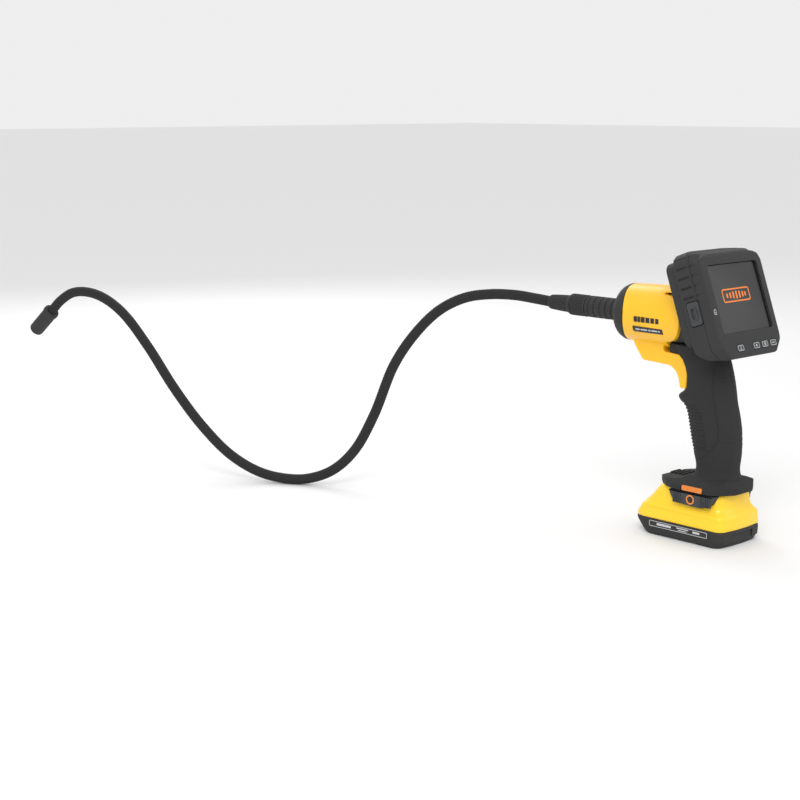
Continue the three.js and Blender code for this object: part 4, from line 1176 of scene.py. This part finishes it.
# The head's own place: y runs along its axis, away from the gooseneck.
HEAD = Matrix.Translation(Vector(ROUTE[-1])) @ HEAD_AXIS.to_track_quat("Y", "Z").to_matrix().to_4x4()


class INSPECT_OT_gooseneck(bpy.types.Operator):
    """Makes the wound gooseneck in three pieces."""
    bl_idname = "inspect.gooseneck"
    bl_label = "Gooseneck"

    def execute(self, context):
        look = context.scene.inspect_look
        cuts = (0.0, 292.0, 620.0, NECK_END)
        spans = (("cable_plug", "cable_trough", CREST, ("gooseneck_stiff_1", "gooseneck_flex_1")),
                 ("cable_trough", "cable_rise", RISE, ("gooseneck_stiff_2", "gooseneck_flex_2")),
                 ("cable_rise", "camera_head", TIP,
                  ("gooseneck_stiff_3", "gooseneck_flex_3", "gooseneck_stiff_4")))
        for k, (first, second, reach, nodes) in enumerate(spans):
            piece = self.tube(f"gooseneck_{k + 1}", cuts[k], cuts[k + 1], look)
            piece.data.materials.append(bpy.data.materials["gooseneck_black"])
            piece.data.shade_smooth()
            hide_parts(*nodes)
            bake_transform(piece)
        return {"FINISHED"}

    def tube(self, name, start, end, look):
        """A stretch of tube with the winding's turns standing up on it."""
        sides = look.neck_sides
        stations = np.linspace(start, end, int((end - start) / look.wind_pitch * 5))
        angle = np.linspace(0, math.tau, sides, endpoint=False)
        side = np.array([1.0, 0.0, 0.0])
        rings = []
        for s in stations:
            along = tangent_at(s)
            side = side - along * (side @ along)
            side /= np.linalg.norm(side)
            up = np.cross(along, side)
            phase = math.tau * s / look.wind_pitch - angle
            near_end = min(1.0, (NECK_END - s) / 4 + 0.2)
            radius = NECK_RADIUS + 0.08 - look.wind_depth * near_end * (0.5 - 0.5 * np.cos(phase)) ** 2
            outward = np.cos(angle)[:, None] * side + np.sin(angle)[:, None] * up
            rings.append(at_arc(s) + radius[:, None] * outward)
        return skin(name, rings)


class INSPECT_OT_head(bpy.types.Operator):
    """Makes the camera head's case; its window, lamps and lens keep the frame's meshes."""
    bl_idname = "inspect.head"
    bl_label = "Camera head"

    def execute(self, context):
        lip, radius, length = 9.2, HEAD_RADIUS, HEAD_LENGTH
        case = turned("head_sleeve", [
            (0.3, NECK_RADIUS + 0.3, 0.2), (0.3, 7.2, 0.8), (2.6, 8.3, 0.6), (3.1, lip, 0.5), (6.4, lip, 0.5),
            (6.9, 8.3, 0.3), (7.6, 8.3, 0.3), (8.1, radius, 0.3), (12.2, radius, 0.2),
            (12.4, radius - 0.3, 0.1),
            (13.1, radius - 0.3, 0.1), (13.3, radius, 0.2), (length - 3.2, radius, 0.4),
            (length - 2.8, radius - 0.25, 0.2), (length - 2.2, radius - 0.25, 0.2),
            (length - 1.9, radius, 0.3),
            (length, radius - 0.2, 0.8), (length, 6.4, 0.3), (length - 1.6, 5.9, 0.2),
            (length - 1.6, 3.0, 0.2),
            (2, 3.0, 0.2), (2, NECK_RADIUS + 0.3, 0.2)], 64, HEAD)
        finish(case, "black_plastic", "camera_head", "head_case")
        return {"FINISHED"}


# ------------------------------------------------------------------ stage
class INSPECT_OT_stage(bpy.types.Operator):
    """Makes the floor, the soft lights and the camera."""
    bl_idname = "inspect.stage"
    bl_label = "Stage"

    def execute(self, context):
        look = context.scene.inspect_look
        scene = context.scene
        scene.view_settings.view_transform = "Standard"
        bpy.ops.mesh.primitive_plane_add(size=40, location=(0, 0, 0))
        floor = bpy.context.object
        floor.name = "floor"
        paper = bpy.data.materials.new("floor_paper")
        paper.use_nodes = True
        bsdf = paper.node_tree.nodes["Principled BSDF"]
        bsdf.inputs["Base Color"].default_value = (0.86, 0.86, 0.86, 1)
        bsdf.inputs["Roughness"].default_value = 0.75
        floor.data.materials.append(paper)
        world = bpy.data.worlds.new("studio")
        scene.world = world
        world.use_nodes = True
        sky = world.node_tree.nodes["Background"]
        sky.inputs["Color"].default_value = (1, 1, 1, 1)
        sky.inputs["Strength"].default_value = look.world_light
        lamps = (("key", (-1.1, -0.7, 1.3), 0.9, look.key_light),
                 ("fill", (1.0, -1.3, 0.8), 1.2, look.fill_light),
                 ("back", (0.6, 1.6, 1.1), 1.2, look.back_light))
        for name, place, size, power in lamps:
            data = bpy.data.lights.new(name, "AREA")
            data.shape = "DISK"
            data.size = size
            data.energy = power
            lamp = bpy.data.objects.new(name, data)
            scene.collection.objects.link(lamp)
            lamp.location = place
            aim = Vector((0, 0.15, 0.12)) - lamp.location
            lamp.rotation_euler = aim.to_track_quat("-Z", "Y").to_euler()
        data = bpy.data.cameras.new("camera")
        data.lens = look.camera_lens
        data.sensor_width = 36
        camera = bpy.data.objects.new("camera", data)
        scene.collection.objects.link(camera)
        camera.location = look.camera_place
        camera.rotation_euler = look.camera_turn
        scene.camera = camera
        return {"FINISHED"}


# ------------------------------------------------------------------ settings, panel and run
class InspectLook(bpy.types.PropertyGroup):
    """What can be adjusted about the camera's looks."""
    pack_colour: FloatVectorProperty(
        name="Pack colour", description="Colour of the battery pack", subtype="COLOR", size=3,
        default=(0.92, 0.58, 0.012), min=0, max=1)
    housing_colour: FloatVectorProperty(
        name="Housing colour", description="Colour of the barrel", subtype="COLOR", size=3,
        default=(0.9, 0.47, 0.008), min=0, max=1)
    wear: FloatProperty(name="Wear", description="How far outer edges are polished", default=0.2, min=0,
                        max=1)
    marks: FloatProperty(name="Marks", description="Strength of handling marks", default=0.45, min=0, max=1)
    wind_pitch: FloatProperty(
        name="Winding pitch", description="Distance between turns of the gooseneck's winding, in millimetres",
        default=2.8, min=1, max=8)
    wind_depth: FloatProperty(
        name="Winding depth", description="Depth of the gooseneck's winding, in millimetres",
        default=0.35, min=0,
        max=1)
    neck_sides: IntProperty(name="Neck sides", description="Points round the gooseneck", default=20,
                            min=8, max=64)
    world_light: FloatProperty(name="World light", description="Strength of the even light",
                               default=0.86, min=0)
    key_light: FloatProperty(name="Key light", description="Main lamp", default=13, min=0, unit="POWER")
    fill_light: FloatProperty(name="Fill light", description="Soft front lamp", default=3, min=0,
                              unit="POWER")
    back_light: FloatProperty(name="Back light", description="Lamp behind", default=8, min=0, unit="POWER")
    camera_lens: FloatProperty(name="Lens", description="Focal length in millimetres", default=72, min=1)
    camera_place: FloatVectorProperty(
        name="Camera place", description="Where the camera stands", subtype="TRANSLATION", unit="LENGTH",
        size=3,
        default=(-1.2395, -0.8992, 0.415))
    camera_turn: FloatVectorProperty(
        name="Camera turn", description="Which way the camera looks", subtype="EULER", size=3,
        default=(math.radians(79.38), 0, math.radians(-43.1)))


class INSPECT_PT_panel(bpy.types.Panel):
    """Settings and steps of the inspection camera's looks."""
    bl_idname = "INSPECT_PT_panel"
    bl_label = "Inspection camera"
    bl_space_type = "VIEW_3D"
    bl_region_type = "UI"
    bl_category = "Inspection"

    def draw(self, context):
        look = context.scene.inspect_look
        for key in InspectLook.__annotations__:
            self.layout.prop(look, key)
        for step in STEPS:
            self.layout.operator(step.bl_idname)


STEPS = (
    INSPECT_OT_materials, INSPECT_OT_pack, INSPECT_OT_grip, INSPECT_OT_housing,
    INSPECT_OT_display, INSPECT_OT_connector, INSPECT_OT_gooseneck, INSPECT_OT_head, INSPECT_OT_stage,
)
CLASSES = (InspectLook, *STEPS, INSPECT_PT_panel)


def register():
    for kind in CLASSES:
        bpy.utils.register_class(kind)
    bpy.types.Scene.inspect_look = PointerProperty(type=InspectLook)


def unregister():
    del bpy.types.Scene.inspect_look
    for kind in reversed(CLASSES):
        bpy.utils.unregister_class(kind)


def main():
    register()
    bpy.ops.inspect.materials()
    bpy.ops.inspect.pack()
    bpy.ops.inspect.grip()
    bpy.ops.inspect.housing()
    bpy.ops.inspect.display()
    bpy.ops.inspect.connector()
    bpy.ops.inspect.gooseneck()
    bpy.ops.inspect.head()
    bpy.ops.inspect.stage()


if __name__ == "__main__":
    main()
